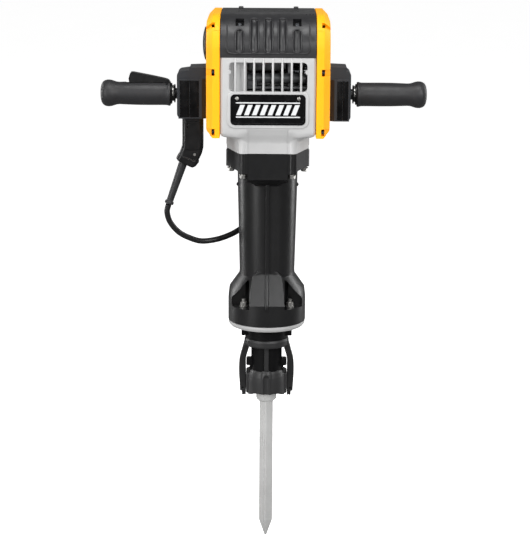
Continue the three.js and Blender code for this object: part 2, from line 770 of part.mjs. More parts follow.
const pinionPhase = crankToLayshaft + Math.PI + Math.PI / LAYSHAFT_PINION_TEETH;
const pinionOutline = shifted(
  gearOutline(LAYSHAFT_PINION_TEETH, SLOW_MODULE, pinionPhase),
  LAYSHAFT,
);
const layshaft = union(
  prismX(pinionOutline, SLOW_GEAR_X),
  rod("x", 7, [41, 95], LAYSHAFT, SMALL_ROUND),
);
addPart("layshaft", "darkSteel", layshaft);

const layshaftGearOutline = shifted(
  gearOutline(LAYSHAFT_GEAR_TEETH, FAST_MODULE, layshaftToMotor),
  LAYSHAFT,
);
const layshaftGear = cut(
  prismX(layshaftGearOutline, FAST_GEAR_X),
  rod("x", 7 + GAP, [70, 90], LAYSHAFT, SMALL_ROUND),
  ring("x", 14, 38, [FAST_GEAR_X[0] - 1, FAST_GEAR_X[0] + 3], LAYSHAFT),
);
addPart("layshaft_gear", "steel", layshaftGear);

// ---------------------------------------------------------------- motor
const motorPinionPhase = layshaftToMotor + Math.PI + Math.PI / MOTOR_TEETH;
const motorPinionOutline = shifted(gearOutline(MOTOR_TEETH, FAST_MODULE, motorPinionPhase), MOTOR);
const rotor = turned(
  "x",
  [
    [0, -95],
    [8, -95],
    [8, -58],
    [22, -58],
    [24, -50],
    [30, -50],
    [30, 32],
    [24, 32],
    [22, 38],
    [8, 38],
    [8, 52],
    [6.4, 52],
    [6.4, 85],
    [0, 85],
  ],
  MOTOR,
);
addPart("armature", "lamination", rotor.add(prismX(motorPinionOutline, FAST_GEAR_X)));
addPart("commutator", "copper", ring("x", 8 + GAP, 17, [-72, -59], MOTOR, SMALL_ROUND));

function coolingFan() {
  let fan = union(
    rod("x", 44, [-77, -75], MOTOR),
    rod("x", 14, [-85, -75], MOTOR, SMALL_ROUND),
  );
  for (let i = 0; i < 10; i += 1) {
    const blade = new THREE.BoxGeometry(8.5, 2, 33);
    blade.translate(-80.5, 0, 26.5);
    blade.rotateX((2 * Math.PI * i) / 10);
    blade.translate(0, MOTOR[0], MOTOR[1]);
    fan = fan.add(toSolid(blade));
  }
  return fan.subtract(rod("x", 8 + GAP, [-90, -70], MOTOR, SMALL_ROUND));
}
addPart("cooling_fan", "satinBlack", coolingFan());
addPart("motor_stator", "lamination", ring("x", 31, 52, [-52, 36], MOTOR));

const BEARINGS = [
  ["crank_bearing_inner", 12, 22, WEB_X, CRANK],
  ["crank_bearing_outer", 12, 22, SIDE_WALL_X, CRANK],
  ["layshaft_bearing_inner", 7, 13, WEB_X, LAYSHAFT],
  ["layshaft_bearing_outer", 7, 13, SIDE_WALL_X, LAYSHAFT],
  ["motor_bearing_right", 8, 16, WEB_X, MOTOR],
  ["motor_bearing_left", 8, 16, [-96, -86], MOTOR],
];
for (const [name, shaftR, outerR, span, centre] of BEARINGS) {
  const width = [span[0] + 1, span[1] - 1];
  addPart(name, "steel", ring("x", shaftR + GAP, outerR, width, centre, 24));
}

// ---------------------------------------------------------------- handles
const BRACKET_HALF_Y = 38;
const BRACKETS = {
  left: { side: -1, outer: 188, low: 912, high: 1013, floor: 917 },
  right: { side: 1, outer: 171, low: 908, high: 1015, floor: 935 },
};

function bracket({ side, outer, low, high, floor }) {
  const inner = COVER_OUTER_X + GAP;
  let outline = [
    [inner, low],
    [outer - 12, low],
    [outer, low + 12],
    [outer, high - 10],
    [outer - 10, high],
    [inner + 16, high],
    [inner + 12, high + 5],
    [inner, high + 5],
  ];
  if (side < 0) outline = mirrored(outline);
  const spanX = side > 0 ? [131, outer + 1] : [-outer - 1, -131];
  const slot = block(spanX, [-17, 17], [floor, 985]);
  const pinHole = rod("y", 5 + GAP, [-40, 40], [side * PIVOT_X, HANDLE_Z], SMALL_ROUND);
  return cut(prismY(outline, [-BRACKET_HALF_Y, BRACKET_HALF_Y], 4), slot, pinHole);
}

function handleArm(side, gripX) {
  const end = gripX + side * (GRIP_LENGTH - 15);
  const span = side > 0 ? [PIVOT_X, end] : [end, -PIVOT_X];
  const bar = rod("x", ARM_R, span, [0, HANDLE_Z], 32);
  const boss = rod("y", 16, [-15, 15], [side * PIVOT_X, HANDLE_Z], 32);
  const pinHole = rod("y", 5 + GAP, [-20, 20], [side * PIVOT_X, HANDLE_Z], SMALL_ROUND);
  return bar.add(boss).subtract(pinHole);
}

function grip(side, gripX) {
  const profile = [
    [ARM_R + GAP, 0],
    [27, 0],
    [27, 5],
    [GRIP_R, 9],
    [GRIP_R, 108],
    [25.2, 122],
    [26.5, 130],
    [25, 136],
    [20, GRIP_LENGTH],
    [0, GRIP_LENGTH],
    [0, GRIP_LENGTH - 12],
    [ARM_R + GAP, GRIP_LENGTH - 12],
    [ARM_R + GAP, 0],
  ];
  return turned("x", profile.map(([r, x]) => [r, gripX + side * x]), [0, HANDLE_Z], 28);
}

for (const [name, shape] of Object.entries(BRACKETS)) {
  addPart(`handle_bracket_${name}`, "black", bracket(shape));
  const at = [shape.side * PIVOT_X, HANDLE_Z];
  addPart(`pivot_pin_${name}`, "steel", rod("y", 5, [-37, 37], at, SMALL_ROUND));
}
addPart("handle_arm_left", "darkSteel", handleArm(-1, LEFT_GRIP_X));
addPart("handle_arm_right", "darkSteel", handleArm(1, RIGHT_GRIP_X));

const triggerAt = [TRIGGER_PIVOT.x, TRIGGER_PIVOT.z];
const gripLeft = cut(
  grip(-1, LEFT_GRIP_X),
  block([-292, -198], [-9.6, 9.6], [973.4, 995]),
  rod("y", 2.5 + GAP, [-35, 35], triggerAt, 16),
);
addPart("grip_left", "rubber", gripLeft);
addPart("grip_right", "rubber", grip(1, RIGHT_GRIP_X));

const triggerOutline = [
  [-201, 978],
  [-201, 987],
  [-209, 991],
  [-235, 997],
  [-272, 1005],
  [-280, 1004],
  [-286, 991],
  [-284, 983],
  [-214, 983],
  [-212, 976.5],
  [-204, 976.5],
];
const trigger = prismY(triggerOutline, [-9, 9], 1).subtract(rod("y", 2.5 + GAP, [-20, 20], triggerAt, 16));
addPart("trigger", "black", trigger);
addPart("trigger_pin", "steel", rod("y", 2.5, [-11.5, 11.5], triggerAt, 16));
addPart("switch_block", "black", block([-180, -136], [-14, 14], [918, 943]));

// ---------------------------------------------------------------- cord
const bootOutline = [
  [-178, 911.6],
  [-181, 880],
  [-186, 850],
  [-191, 822],
  [-160, 807],
  [-152, 830],
  [-141, 856],
  [-135, 882],
  [-134, 911.6],
];
addPart("cord_boot", "black", prismY(bootOutline, [-19, 19], 4));

const RELIEF_START = new THREE.Vector3(-176.6, 0, 811.5);
const RELIEF_END = new THREE.Vector3(-205, 0, 730);

function taperAlong(start, end, startR, endR, sides) {
  const length = start.distanceTo(end);
  const direction = end.clone().sub(start).normalize();
  const turn = new THREE.Quaternion().setFromUnitVectors(new THREE.Vector3(0, 1, 0), direction);
  const middle = start.clone().add(end).multiplyScalar(0.5);
  const geometry = new THREE.CylinderGeometry(endR, startR, length, sides);
  geometry.applyQuaternion(turn).translate(middle.x, middle.y, middle.z);
  return toSolid(geometry);
}
addPart("cord_relief", "rubber", taperAlong(RELIEF_START, RELIEF_END, 9, 7, SMALL_ROUND));

const cordPath = new THREE.CatmullRomCurve3(
  [
    [-205.7, 0, 728.2],
    [-209, 3, 711],
    [-203, 10, 688],
    [-185, 22, 664],
    [-160, 36, 648],
    [-137, 48, 640],
    [-105, 60, 642],
    [-75, 72, 651],
    [-52, 86, 662],
    [-36, 92, 665.5],
  ].map((p) => new THREE.Vector3(...p)),
);
const cordSection = new THREE.Shape().absarc(0, 0, 6, 0, 2 * Math.PI, false);
const cord = new THREE.ExtrudeGeometry(cordSection, {
  steps: 36,
  curveSegments: 5,
  bevelEnabled: false,
  extrudePath: cordPath,
});
addPart("power_cord", "rubber", toSolid(cord));

const plugProfile = [
  [0, -32],
  [9, -32],
  [11, -10],
  [17, -4],
  [17, 26],
  [14, 30],
  [0, 30],
];
addPart("power_plug", "rubber", turned("x", plugProfile, [93, 666], SMALL_ROUND));

export default assembly;
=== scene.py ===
"""Looks of the demolition hammer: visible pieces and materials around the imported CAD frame.

Every shape is written in millimetres in the frame's axes and scaled to metres when its mesh is made.
"""
import math

import bmesh
import bpy
from mathutils import Matrix, Vector


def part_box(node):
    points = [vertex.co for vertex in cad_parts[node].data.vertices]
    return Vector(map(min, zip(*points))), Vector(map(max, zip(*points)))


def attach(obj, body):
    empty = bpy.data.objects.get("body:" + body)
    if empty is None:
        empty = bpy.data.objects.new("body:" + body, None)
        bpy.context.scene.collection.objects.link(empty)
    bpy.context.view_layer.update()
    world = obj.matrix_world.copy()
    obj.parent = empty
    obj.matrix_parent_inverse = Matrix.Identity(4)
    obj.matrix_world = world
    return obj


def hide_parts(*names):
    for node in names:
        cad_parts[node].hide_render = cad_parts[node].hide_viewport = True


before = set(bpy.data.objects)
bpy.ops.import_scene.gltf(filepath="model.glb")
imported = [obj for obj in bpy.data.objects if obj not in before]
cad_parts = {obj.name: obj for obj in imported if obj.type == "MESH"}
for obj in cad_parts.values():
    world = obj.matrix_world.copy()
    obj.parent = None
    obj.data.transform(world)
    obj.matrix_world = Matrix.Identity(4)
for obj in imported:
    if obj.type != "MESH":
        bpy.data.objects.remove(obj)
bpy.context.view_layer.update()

MM = 0.001
BODY = "machine"
HAND = {-1: "left", 1: "right"}
ROUND = 96  # sides of a large round
CAST_SCALE = 1


def limits(node):
    """Lowest and highest corner of a CAD node in millimetres."""
    low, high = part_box(node)
    return [c / MM for c in low], [c / MM for c in high]


# --- driving dimensions, from the frame
COVER_LOW, COVER_HIGH = limits("side_cover_right")
HOOD_LOW, HOOD_HIGH = limits("top_hood")
CASE_LOW, CASE_HIGH = limits("gear_case")
BARREL_LOW, BARREL_HIGH = limits("barrel_housing")
STATOR_LOW, STATOR_HIGH = limits("motor_stator")

HEAD_FRONT_Y = COVER_LOW[1]
HEAD_BACK_Y = COVER_HIGH[1]
HEAD_BOTTOM_Z = COVER_LOW[2]
HEAD_TOP_Z = COVER_HIGH[2]
SEAM_Z = HOOD_LOW[2]
NECK_Z = CASE_LOW[2]
FLANGE_Z = BARREL_LOW[2]
FRONT_ARC_R = 67.0
REAR_ARC_R = 20.0
FRONT_ARC = (HEAD_FRONT_Y + FRONT_ARC_R, HEAD_TOP_Z - FRONT_ARC_R)
REAR_ARC = (HEAD_BACK_Y - REAR_ARC_R, HEAD_TOP_Z - REAR_ARC_R)
CASE_FLOOR_Z = HEAD_BOTTOM_Z + 12
MOTOR_Z = (STATOR_LOW[2] + STATOR_HIGH[2]) / 2
MOTOR_R = (STATOR_HIGH[2] - STATOR_LOW[2]) / 2
HANDLE_Z = (limits("grip_right")[0][2] + limits("grip_right")[1][2]) / 2
PIVOT_X = 150                   # the handles' pivot pins
COVER_SCREWS_Z = (1016.5, 897)
CAP_AT = (10, 1062)             # middle of the round cap, in (y, z)
CRANK_AT = (0, 925)
LAYSHAFT_AT = (11.46, 1005.19)
RETAINER_AT = (29, 333)         # the retainer's shaft, in (y, z)
TRIGGER_AT = (-207, 981.5)      # the trigger's pin, in (x, z)
COLUMN_R = 7.5                  # columns over the collar's front bolts
COLUMN_Y = -98.5
NECK_FRONT_Y = -104.5
PANEL_DEPTH = 2.0               # recess in the middle of the neck
PANEL_X = 40.5
FRONT_DROP = 28                 # height of the curve from the case's front down to the neck
RAY_Y = -8                      # rays from here pair the points of the case, neck and waist outlines
BEAD_R = 1.8                    # raised beads on the hood's front
POCKETS_X = (-57, 57)
POCKET_ANGLE = 53               # on the front arc, in degrees above its start
SCOOPS = [(-28, 63), (0, 63), (28, 63)] + [(x, 37) for x in POCKETS_X]   # (x, end angle on the front arc)
NECK_SIDE = [(57, NECK_FRONT_Y), (84, -25), (84, 25), (57, 80)]
NECK_OUTLINE = NECK_SIDE + [(-x, y) for x, y in reversed(NECK_SIDE)]
COLLAR_BOLTS = [(-49.5, -92), (49.5, -92), (-76, 18), (76, 18)]
FLANGE_BOLTS = [(-48, -42), (48, -42), (-48, 42), (48, 42)]


# --- mesh helpers
def add_object(name, data):
    obj = bpy.data.objects.new(name, data)
    bpy.context.scene.collection.objects.link(obj)
    return obj


def make_object(points, faces, name="part"):
    mesh = bpy.data.meshes.new(name)
    mesh.from_pydata([Vector(p) * MM for p in points], [], faces)
    bm = bmesh.new()
    bm.from_mesh(mesh)
    bmesh.ops.remove_doubles(bm, verts=bm.verts, dist=1e-7)
    bmesh.ops.recalc_face_normals(bm, faces=bm.faces)
    bm.to_mesh(mesh)
    bm.free()
    return add_object(name, mesh)


def loft(rings):
    """Skin over rings of equally many points, with closed ends."""
    count = len(rings[0])
    points = [p for ring in rings for p in ring]
    faces = []
    for r in range(len(rings) - 1):
        for i in range(count):
            j = (i + 1) % count
            faces.append((r * count + i, r * count + j, (r + 1) * count + j, (r + 1) * count + i))
    faces.append(tuple(range(count)))
    faces.append(tuple(range((len(rings) - 1) * count, len(rings) * count)))
    return make_object(points, faces)


def place(axis, u, v, w):
    """Point with outline coordinates u, v and position w along the axis."""
    return {"x": (w, u, v), "y": (u, w, v), "z": (u, v, w)}[axis]


def flip(points, side):
    """Outline on the right (side 1) or mirrored to the left (side -1)."""
    return [(side * u, v) for u, v in points]


def span_at(side, near, far):
    """Stretch from near to far of the middle, on one side."""
    return sorted((side * near, side * far))


def prism(axis, outline, span):
    return loft([[place(axis, u, v, w) for u, v in outline] for w in span])


def block(x, y, z):
    return prism("z", [(x[0], y[0]), (x[1], y[0]), (x[1], y[1]), (x[0], y[1])], z)


def turned(axis, profile, centre=(0, 0), sides=ROUND):
    """Solid of revolution from (radius, position along the axis) pairs."""
    points, faces, rings = [], [], []
    for radius, w in profile:
        start = len(points)
        if radius < 1e-6:
            points.append(place(axis, centre[0], centre[1], w))
            rings.append([start])
            continue
        for i in range(sides):
            angle = 2 * math.pi * i / sides
            u = centre[0] + radius * math.cos(angle)
            v = centre[1] + radius * math.sin(angle)
            points.append(place(axis, u, v, w))
        rings.append(list(range(start, start + sides)))
    for previous, ring in zip(rings, rings[1:]):
        for i in range(sides):
            j = (i + 1) % sides
            if len(previous) == 1 and len(ring) == 1:
                continue
            if len(previous) == 1:
                faces.append((previous[0], ring[j], ring[i]))
            elif len(ring) == 1:
                faces.append((previous[i], previous[j], ring[0]))
            else:
                faces.append((previous[i], previous[j], ring[j], ring[i]))
    return make_object(points, faces)


def rod(axis, radius, span, centre=(0, 0), sides=ROUND):
    return turned(axis, [(0, span[0]), (radius, span[0]), (radius, span[1]), (0, span[1])], centre, sides)


def arc(centre, radius, start, end, steps):
    """Points on an arc, angles in degrees."""
    turns = [math.radians(start + (end - start) * i / steps) for i in range(steps + 1)]
    return [(centre[0] + radius * math.cos(t), centre[1] + radius * math.sin(t)) for t in turns]


def rounded_rectangle(u, v, radius, steps=8):
    left, right, low, high = u[0] + radius, u[1] - radius, v[0] + radius, v[1] - radius
    centres = [(right, high), (left, high), (left, low), (right, low)]
    return [p for k, at in enumerate(centres) for p in arc(at, radius, 90 * k, 90 * k + 90, steps)]


def slab(axis, u, v, span, corner, edge, steps=8):
    """Rounded rectangle with softly rounded rims at its ends."""
    turns = [math.radians(90 * k / 4) for k in range(5)]
    rim = [(edge * (1 - math.sin(t)), edge * (1 - math.cos(t))) for t in turns[::-1]]
    rings = [(span[0] + drop, pull) for drop, pull in rim]
    rings += [(span[1] - drop, pull) for drop, pull in rim[::-1]]
    loops = []
    for w, pull in rings:
        radius = max(corner - pull, 0.2)
        outline = rounded_rectangle((u[0] + pull, u[1] - pull), (v[0] + pull, v[1] - pull), radius, steps)
        loops.append([place(axis, a, b, w) for a, b in outline])
    return loft(loops)


def hull(points):
    obj = make_object(points, [])
    bm = bmesh.new()
    bm.from_mesh(obj.data)
    bmesh.ops.convex_hull(bm, input=bm.verts)
    loose = [v for v in bm.verts if not v.link_faces]
    bmesh.ops.delete(bm, geom=loose, context="VERTS")
    bmesh.ops.recalc_face_normals(bm, faces=bm.faces)
    bm.to_mesh(obj.data)
    bm.free()
    return obj


def sweep(path, radii, sides=24):
    """Round tube along a path, one radius per point, with closed ends."""
    path = [Vector(p) for p in path]
    rings = []
    side = Vector((0, 1, 0))
    for i, point in enumerate(path):
        ahead = path[min(i + 1, len(path) - 1)] - path[max(i - 1, 0)]
        ahead.normalize()
        side = (side - ahead * side.dot(ahead)).normalized()
        up = ahead.cross(side)
        ring = []
        for k in range(sides):
            turn = 2 * math.pi * k / sides
            offset = side * math.cos(turn) + up * math.sin(turn)
            ring.append(tuple(point + offset * radii[i]))
        rings.append(ring)
    return loft(rings)


def smooth_path(points, steps=10):
    """Catmull-Rom curve through the points."""
    points = [Vector(p) for p in points]
    padded = [2 * points[0] - points[1]] + points + [2 * points[-1] - points[-2]]
    curve = []
    for i in range(1, len(padded) - 2):
        p0, p1, p2, p3 = padded[i - 1 : i + 3]
        for k in range(steps):
            t = k / steps
            curve.append(
                0.5 * (2 * p1 + (p2 - p0) * t + (2 * p0 - 5 * p1 + 4 * p2 - p3) * t**2
                       + (3 * p1 - p0 - 3 * p2 + p3) * t**3)
            )
    return [tuple(point) for point in curve + points[-1:]]


def bake(obj):
    """Applies the object's modifiers to its mesh."""
    bpy.context.view_layer.update()
    graph = bpy.context.evaluated_depsgraph_get()
    mesh = bpy.data.meshes.new_from_object(obj.evaluated_get(graph))
    obj.modifiers.clear()
    obj.data = mesh
    return obj


def discard(obj):
    bpy.data.objects.remove(obj, do_unlink=True)


def boolean(obj, tools, operation):
    for tool in tools:
        modifier = obj.modifiers.new("boolean", "BOOLEAN")
        modifier.operation = operation
        modifier.solver = "MANIFOLD"
        modifier.object = tool
    bake(obj)
    for tool in tools:
        discard(tool)
    return obj


def cut(obj, *tools):
    return boolean(obj, tools, "DIFFERENCE")


def join(obj, *tools):
    return boolean(obj, tools, "UNION")


def keep(obj, *tools):
    return boolean(obj, tools, "INTERSECT")


def merged(objects):
    """One smooth-shaded object from several separate closed pieces."""
    bm = bmesh.new()
    for obj in objects:
        bm.from_mesh(obj.data)
    whole = make_object([], [])
    bm.to_mesh(whole.data)
    bm.free()
    for obj in objects:
        discard(obj)
    return shade(whole)


def shade(obj, angle=35):
    obj.data.shade_smooth()
    obj.data.set_sharp_from_angle(angle=math.radians(angle))
    return obj


def add_bevel(obj, width, segments, angle):
    modifier = obj.modifiers.new("bevel", "BEVEL")
    modifier.width = width * MM
    modifier.segments = segments
    modifier.limit_method = "ANGLE"
    modifier.angle_limit = math.radians(angle)


def bevelled(obj, width, segments=3, angle=32):
    """Rounds the sharp edges and shades the rest smooth."""
    add_bevel(obj, width, segments, angle)
    bake(obj)
    shade(obj, 50)
    weighted = obj.modifiers.new("weighted", "WEIGHTED_NORMAL")
    weighted.keep_sharp = True
    return bake(obj)


def cast(obj, voxel, passes, ratio):
    """Cast look: every edge and inside corner is blended by remeshing and smoothing."""
    remesh = obj.modifiers.new("remesh", "REMESH")
    remesh.mode = "VOXEL"
    remesh.voxel_size = voxel * MM * CAST_SCALE
    relax = obj.modifiers.new("relax", "SMOOTH")
    relax.factor = 0.5
    relax.iterations = passes
    thin = obj.modifiers.new("thin", "DECIMATE")
    thin.ratio = ratio
    bake(obj)
    obj.data.shade_smooth()
    return obj


def finish(obj, name, material, body=BODY, replaces=None):
    """Names a visible piece, gives it its material and rides it on its body, in place of a CAD node."""
    obj.name = name
    obj.data.name = name
    obj.data.materials.clear()
    obj.data.materials.append(material)
    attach(obj, body)
    if replaces:
        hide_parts(replaces)


# --- materials
class Nodes:
    """Short ways to add nodes to one node tree."""

    def __init__(self, tree):
        self.tree = tree

    def link(self, source, target):
        self.tree.links.new(source, target)

    def output(self, kind, name):
        return self.tree.nodes.new(f"ShaderNode{kind}").outputs[name]

    def noise(self, scale, detail, stretch=None):
        node = self.tree.nodes.new("ShaderNodeTexNoise")
        node.inputs["Scale"].default_value = scale
        node.inputs["Detail"].default_value = detail
        node.inputs["Roughness"].default_value = 0.6
        source = self.output("TexCoord", "Object")
        if stretch:
            mapping = self.tree.nodes.new("ShaderNodeMapping")
            mapping.inputs["Scale"].default_value = stretch
            self.link(source, mapping.inputs["Vector"])
            source = mapping.outputs["Vector"]
        self.link(source, node.inputs["Vector"])
        return node.outputs["Fac"]

    def spread(self, source, low, high, start=0.3, end=0.7):
        node = self.tree.nodes.new("ShaderNodeMapRange")
        node.inputs["From Min"].default_value = start
        node.inputs["From Max"].default_value = end
        node.inputs["To Min"].default_value = low
        node.inputs["To Max"].default_value = high
        self.link(source, node.inputs["Value"])
        return node.outputs["Result"]

    def mix(self, factor, first, second):
        node = self.tree.nodes.new("ShaderNodeMix")
        node.data_type = "RGBA"
        self.link(factor, node.inputs["Factor"])
        for value, socket in ((first, node.inputs["A"]), (second, node.inputs["B"])):
            if isinstance(value, tuple):
                socket.default_value = value
            else:
                self.link(value, socket)
        return node.outputs["Result"]

    def bump(self, source, millimetres, under=None):
        node = self.tree.nodes.new("ShaderNodeBump")
        node.inputs["Distance"].default_value = millimetres * MM
        self.link(source, node.inputs["Height"])
        if under:
            self.link(under, node.inputs["Normal"])
        return node.outputs["Normal"]


def linear(level):
    """Linear value of a 0 to 255 display level."""
    level /= 255
    return level / 12.92 if level <= 0.04045 else ((level + 0.055) / 1.055) ** 2.4


def grey(value):
    return (value, value, value, 1)


BROAD_SCALE, GLOSS_SCALE, LUMP_SCALE = 14, 60, 170   # noise scales per metre, broad to fine
SPECK_STRENGTH = 0.35


def surface(name, colour, roughness, metallic=0.0, mottle=0.1, grain=1500, depth=0.05,
            rough_range=0.1, lumps=0.0, stretch=None, specular=0.5):
    """Plain finish with colour variation, uneven gloss and a fine grain; depths in millimetres."""
    def tint(factor):
        return tuple(min(linear(level) * factor, 1) for level in colour) + (1,)

    material = bpy.data.materials.new(name)
    material.use_nodes = True
    look = Nodes(material.node_tree)
    inputs = look.tree.nodes["Principled BSDF"].inputs
    base = look.mix(look.spread(look.noise(BROAD_SCALE, 3), 0, 1), tint(1 - mottle), tint(1 + mottle))
    specks = look.spread(look.noise(grain * 0.35, 2), 0, SPECK_STRENGTH, 0.45, 0.75)
    look.link(look.mix(specks, base, tint(1 + 2.2 * mottle)), inputs["Base Color"])
    gloss = look.noise(GLOSS_SCALE, 5, stretch)
    look.link(look.spread(gloss, roughness - rough_range, roughness + rough_range), inputs["Roughness"])
    inputs["Metallic"].default_value = metallic
    inputs["Specular IOR Level"].default_value = specular
    normal = look.bump(look.noise(grain, 3, stretch), depth)
    if lumps:
        normal = look.bump(look.noise(LUMP_SCALE, 2), lumps, normal)
    look.link(normal, inputs["Normal"])
    return material


YELLOW = surface("yellow_shell", (245, 161, 9), 0.5, mottle=0.025, grain=2200, depth=0.02, specular=0.22)
SILVER = surface("cast_silver_paint", (174, 174, 174), 0.45, 0.25, mottle=0.03, grain=1700, lumps=0.04)
HOOD = surface("hood_plastic", (27, 27, 29), 0.42, mottle=0.08, grain=2600, specular=0.45)
BLACK = surface("black_plastic", (14, 14, 15), 0.36, grain=2200, depth=0.04, specular=0.3)
GLOSS = surface("gloss_black", (6, 6, 7), 0.22, mottle=0.08, grain=900, depth=0.01, specular=0.25)
CASTING = surface("black_casting", (12, 12, 13), 0.34, mottle=0.08, depth=0.04, rough_range=0.03, lumps=0.01,
                  specular=0.4)
RUBBER = surface("soft_rubber", (27, 27, 29), 0.5, grain=1900, depth=0.08, specular=0.4)
CORD = surface("cord_rubber", (20, 20, 21), 0.4, grain=1600, specular=0.35)
STEEL = surface("machined_steel", (176, 178, 180), 0.32, 0.9, mottle=0.08, grain=700, depth=0.03,
                stretch=(1, 1, 0.06))
BIT_STEEL = surface("chisel_steel", (198, 198, 197), 0.3, 0.5, mottle=0.09, grain=900, depth=0.04,
                    stretch=(1, 1, 0.05))
DARK_STEEL = surface("dark_steel", (84, 86, 89), 0.36, 0.9, mottle=0.15, grain=900, depth=0.03)
BLACK_STEEL = surface("black_oxide", (22, 22, 23), 0.4, 0.4, mottle=0.15, grain=900, depth=0.03)
ZINC = surface("zinc_fastener", (146, 145, 142), 0.32, 0.8, mottle=0.12, grain=1200, depth=0.02)
# Motor can colour raised well above its own grey: painted light on the stator, which is seen in shade behind
# the grille.
LIT_MOTOR_CAN = surface("motor_can_painted_light", (214, 215, 217), 0.36, 0.2)
LAMINATED = surface("laminated_steel", (92, 93, 95), 0.4, 0.4, mottle=0.15, grain=2400, depth=0.12,
                    stretch=(1, 0.02, 0.02))
# Dark grey, lighter than the other black plastics and tinted blue. This is partly the bracket's own colour
# and partly painted light, standing in for its highlights and offsetting the yellow bounce from the side
# covers.
BRACKET = surface("bracket_plastic", (29, 32, 37), 0.42, mottle=0.08, rough_range=0.05)
# Dark grey for the air guide's tube, ledge and plug: painted shade for the dark lines inside the grille.
SHADE_DUCT = surface("air_duct_painted_shade", (70, 71, 73), 0.42, 0.2, mottle=0.12, depth=0.06)
NOSE_CAST = surface("nose_casting", (24, 24, 25), 0.48, depth=0.06, rough_range=0.05)
# Near-black copy of the nose casting: painted shade for the recessed nose neck and the hood's pocket floors.
SHADE_BLACK = surface("painted_shade_casting", (6, 6, 7), 0.5, mottle=0.15, depth=0.08, specular=0.12)
# Light grey for the bearing webs behind the grille: painted light on walls that sit in the casting's shade.
LIT_WEB = surface("web_casting_painted_light", (150, 151, 153), 0.45, 0.2, mottle=0.15, depth=0.07)
BRONZE = surface("bushing_bronze", (176, 130, 66), 0.35, 0.9, mottle=0.12, grain=1400, depth=0.06)
COPPER = surface("winding_copper", (170, 92, 50), 0.35, 0.9, mottle=0.15, grain=1800, depth=0.08)
INK = surface("plate_ink", (190, 191, 192), 0.4, mottle=0.03, grain=1800, depth=0.02)


# --- head
def head_profile(inset, steps=40):
    """Side profile of the head in (y, z), pulled in by inset."""
    front, back, bottom = HEAD_FRONT_Y + inset, HEAD_BACK_Y - inset, HEAD_BOTTOM_Z + inset
    return (
        [(back, bottom)]
        + arc(REAR_ARC, REAR_ARC_R - inset, 0, 90, steps // 3)
        + arc(FRONT_ARC, FRONT_ARC_R - inset, 90, 180, steps)
        + [(front, bottom)]
    )


def arc_frame(angle, inset=0.0):
    """Point on the head's front arc at an angle above its start, and its outward turn."""
    turn = math.radians(angle)
    radius = FRONT_ARC_R - inset
    y = FRONT_ARC[0] - radius * math.cos(turn)
    z = FRONT_ARC[1] + radius * math.sin(turn)
    return y, z, turn


def moved(obj, spot, turn=0.0):
    """Turns a piece made round the origin about x and moves it to a spot."""
    obj.data.transform(Matrix.Translation(Vector(spot) * MM) @ Matrix.Rotation(turn, 4, "X"))
    return obj


def on_arc(obj, x, angle, inset=0.0):
    """Moves a tool, made round the origin and facing -y, onto the front arc."""
    y, z, turn = arc_frame(angle, inset)
    return moved(obj, (x, y, z), -turn)


def notch(side):
    """Screw notch in a side cover's front edge, made round the origin."""
    wedge = prism("z", flip([(111.5, -15), (132, -15), (132, 29), (111.5, 8)], side), (-6.5, 6.5))
    return [wedge, block(span_at(side, 106.5, 112.5), (-3, 16), (-6.8, 6.8))]


def side_cover(side):
    inner = COVER_LOW[0]
    outer = COVER_HIGH[0]
    stations = [(inner, 0.6), (inner + 0.6, 0), (109.8, 0), (111.2, 0.35), (112, 1.0),
                (121.4, 10.6), (122.9, 12.6), (123.7, 14.6), (outer, 17)]
    rings = []
    for x, inset in stations:
        rings.append([(side * x, y, z) for y, z in head_profile(inset)])
    shell = loft(rings)
    tools = [prism("x", head_profile(7), span_at(side, inner - 2, 113))]
    tools += [moved(tool, (0, HEAD_FRONT_Y, z)) for z in COVER_SCREWS_Z for tool in notch(side)]
    tools += [on_arc(tool, 0, 46) for tool in notch(side)]
    tools.append(on_arc(block(span_at(side, 96, 130), (-3, 0.7), (-0.5, 0.5)), 0, 34))
    if side < 0:
        tools.append(rod("x", 30, (-130, -90), CAP_AT))
    shell = cut(shell, *tools)
    for z in range(912, 967, 9):
        shell = cut(shell, slab("x", (62, 92), (z, z + 4), span_at(side, 110, 130), 1.9, 0.5))
    bevelled(shell, 0.7, 2)
    finish(shell, f"cover_shell_{HAND[side]}", YELLOW, replaces=f"side_cover_{HAND[side]}")


def cover_screws(side):
    screws = []
    for z in COVER_SCREWS_Z:
        x = side * 109.5
        head = turned("y", [(0, -108), (2.6, -108), (3, -107), (3, -101), (0, -101)], (x, z), 24)
        screws.append(cut(head, block((x - 0.5, x + 0.5), (-110, -106.8), (z - 2, z + 2))))
    finish(merged(screws), f"cover_screws_{HAND[side]}", DARK_STEEL)


def front_point(x, angle, inset=0.0):
    """Point on the hood's front: on the arc above its start, on the flat below it (angle < 0)."""
    y, z, _ = arc_frame(max(angle, 0), inset)
    if angle < 0:
        z += math.radians(angle) * FRONT_ARC_R
    return x, y, z


def groove(x, top_angle, half_width=8.2, depth=5.4):
    """Scoop that follows the front arc, as a tool to cut with."""
    radius = (half_width**2 + depth**2) / (2 * depth)
    lift = radius - depth
    path, radii = [], []
    start = -4
    count = 26
    for k in range(count + 1):
        along = start + (top_angle - start) * k / count
        path.append(front_point(x, along, -lift))
        end = min(k, count - k) / 3
        radii.append(radius if end >= 1 else lift + depth * math.sqrt(1 - (1 - end) ** 2) + 0.01)
    return sweep(path, radii, 40)


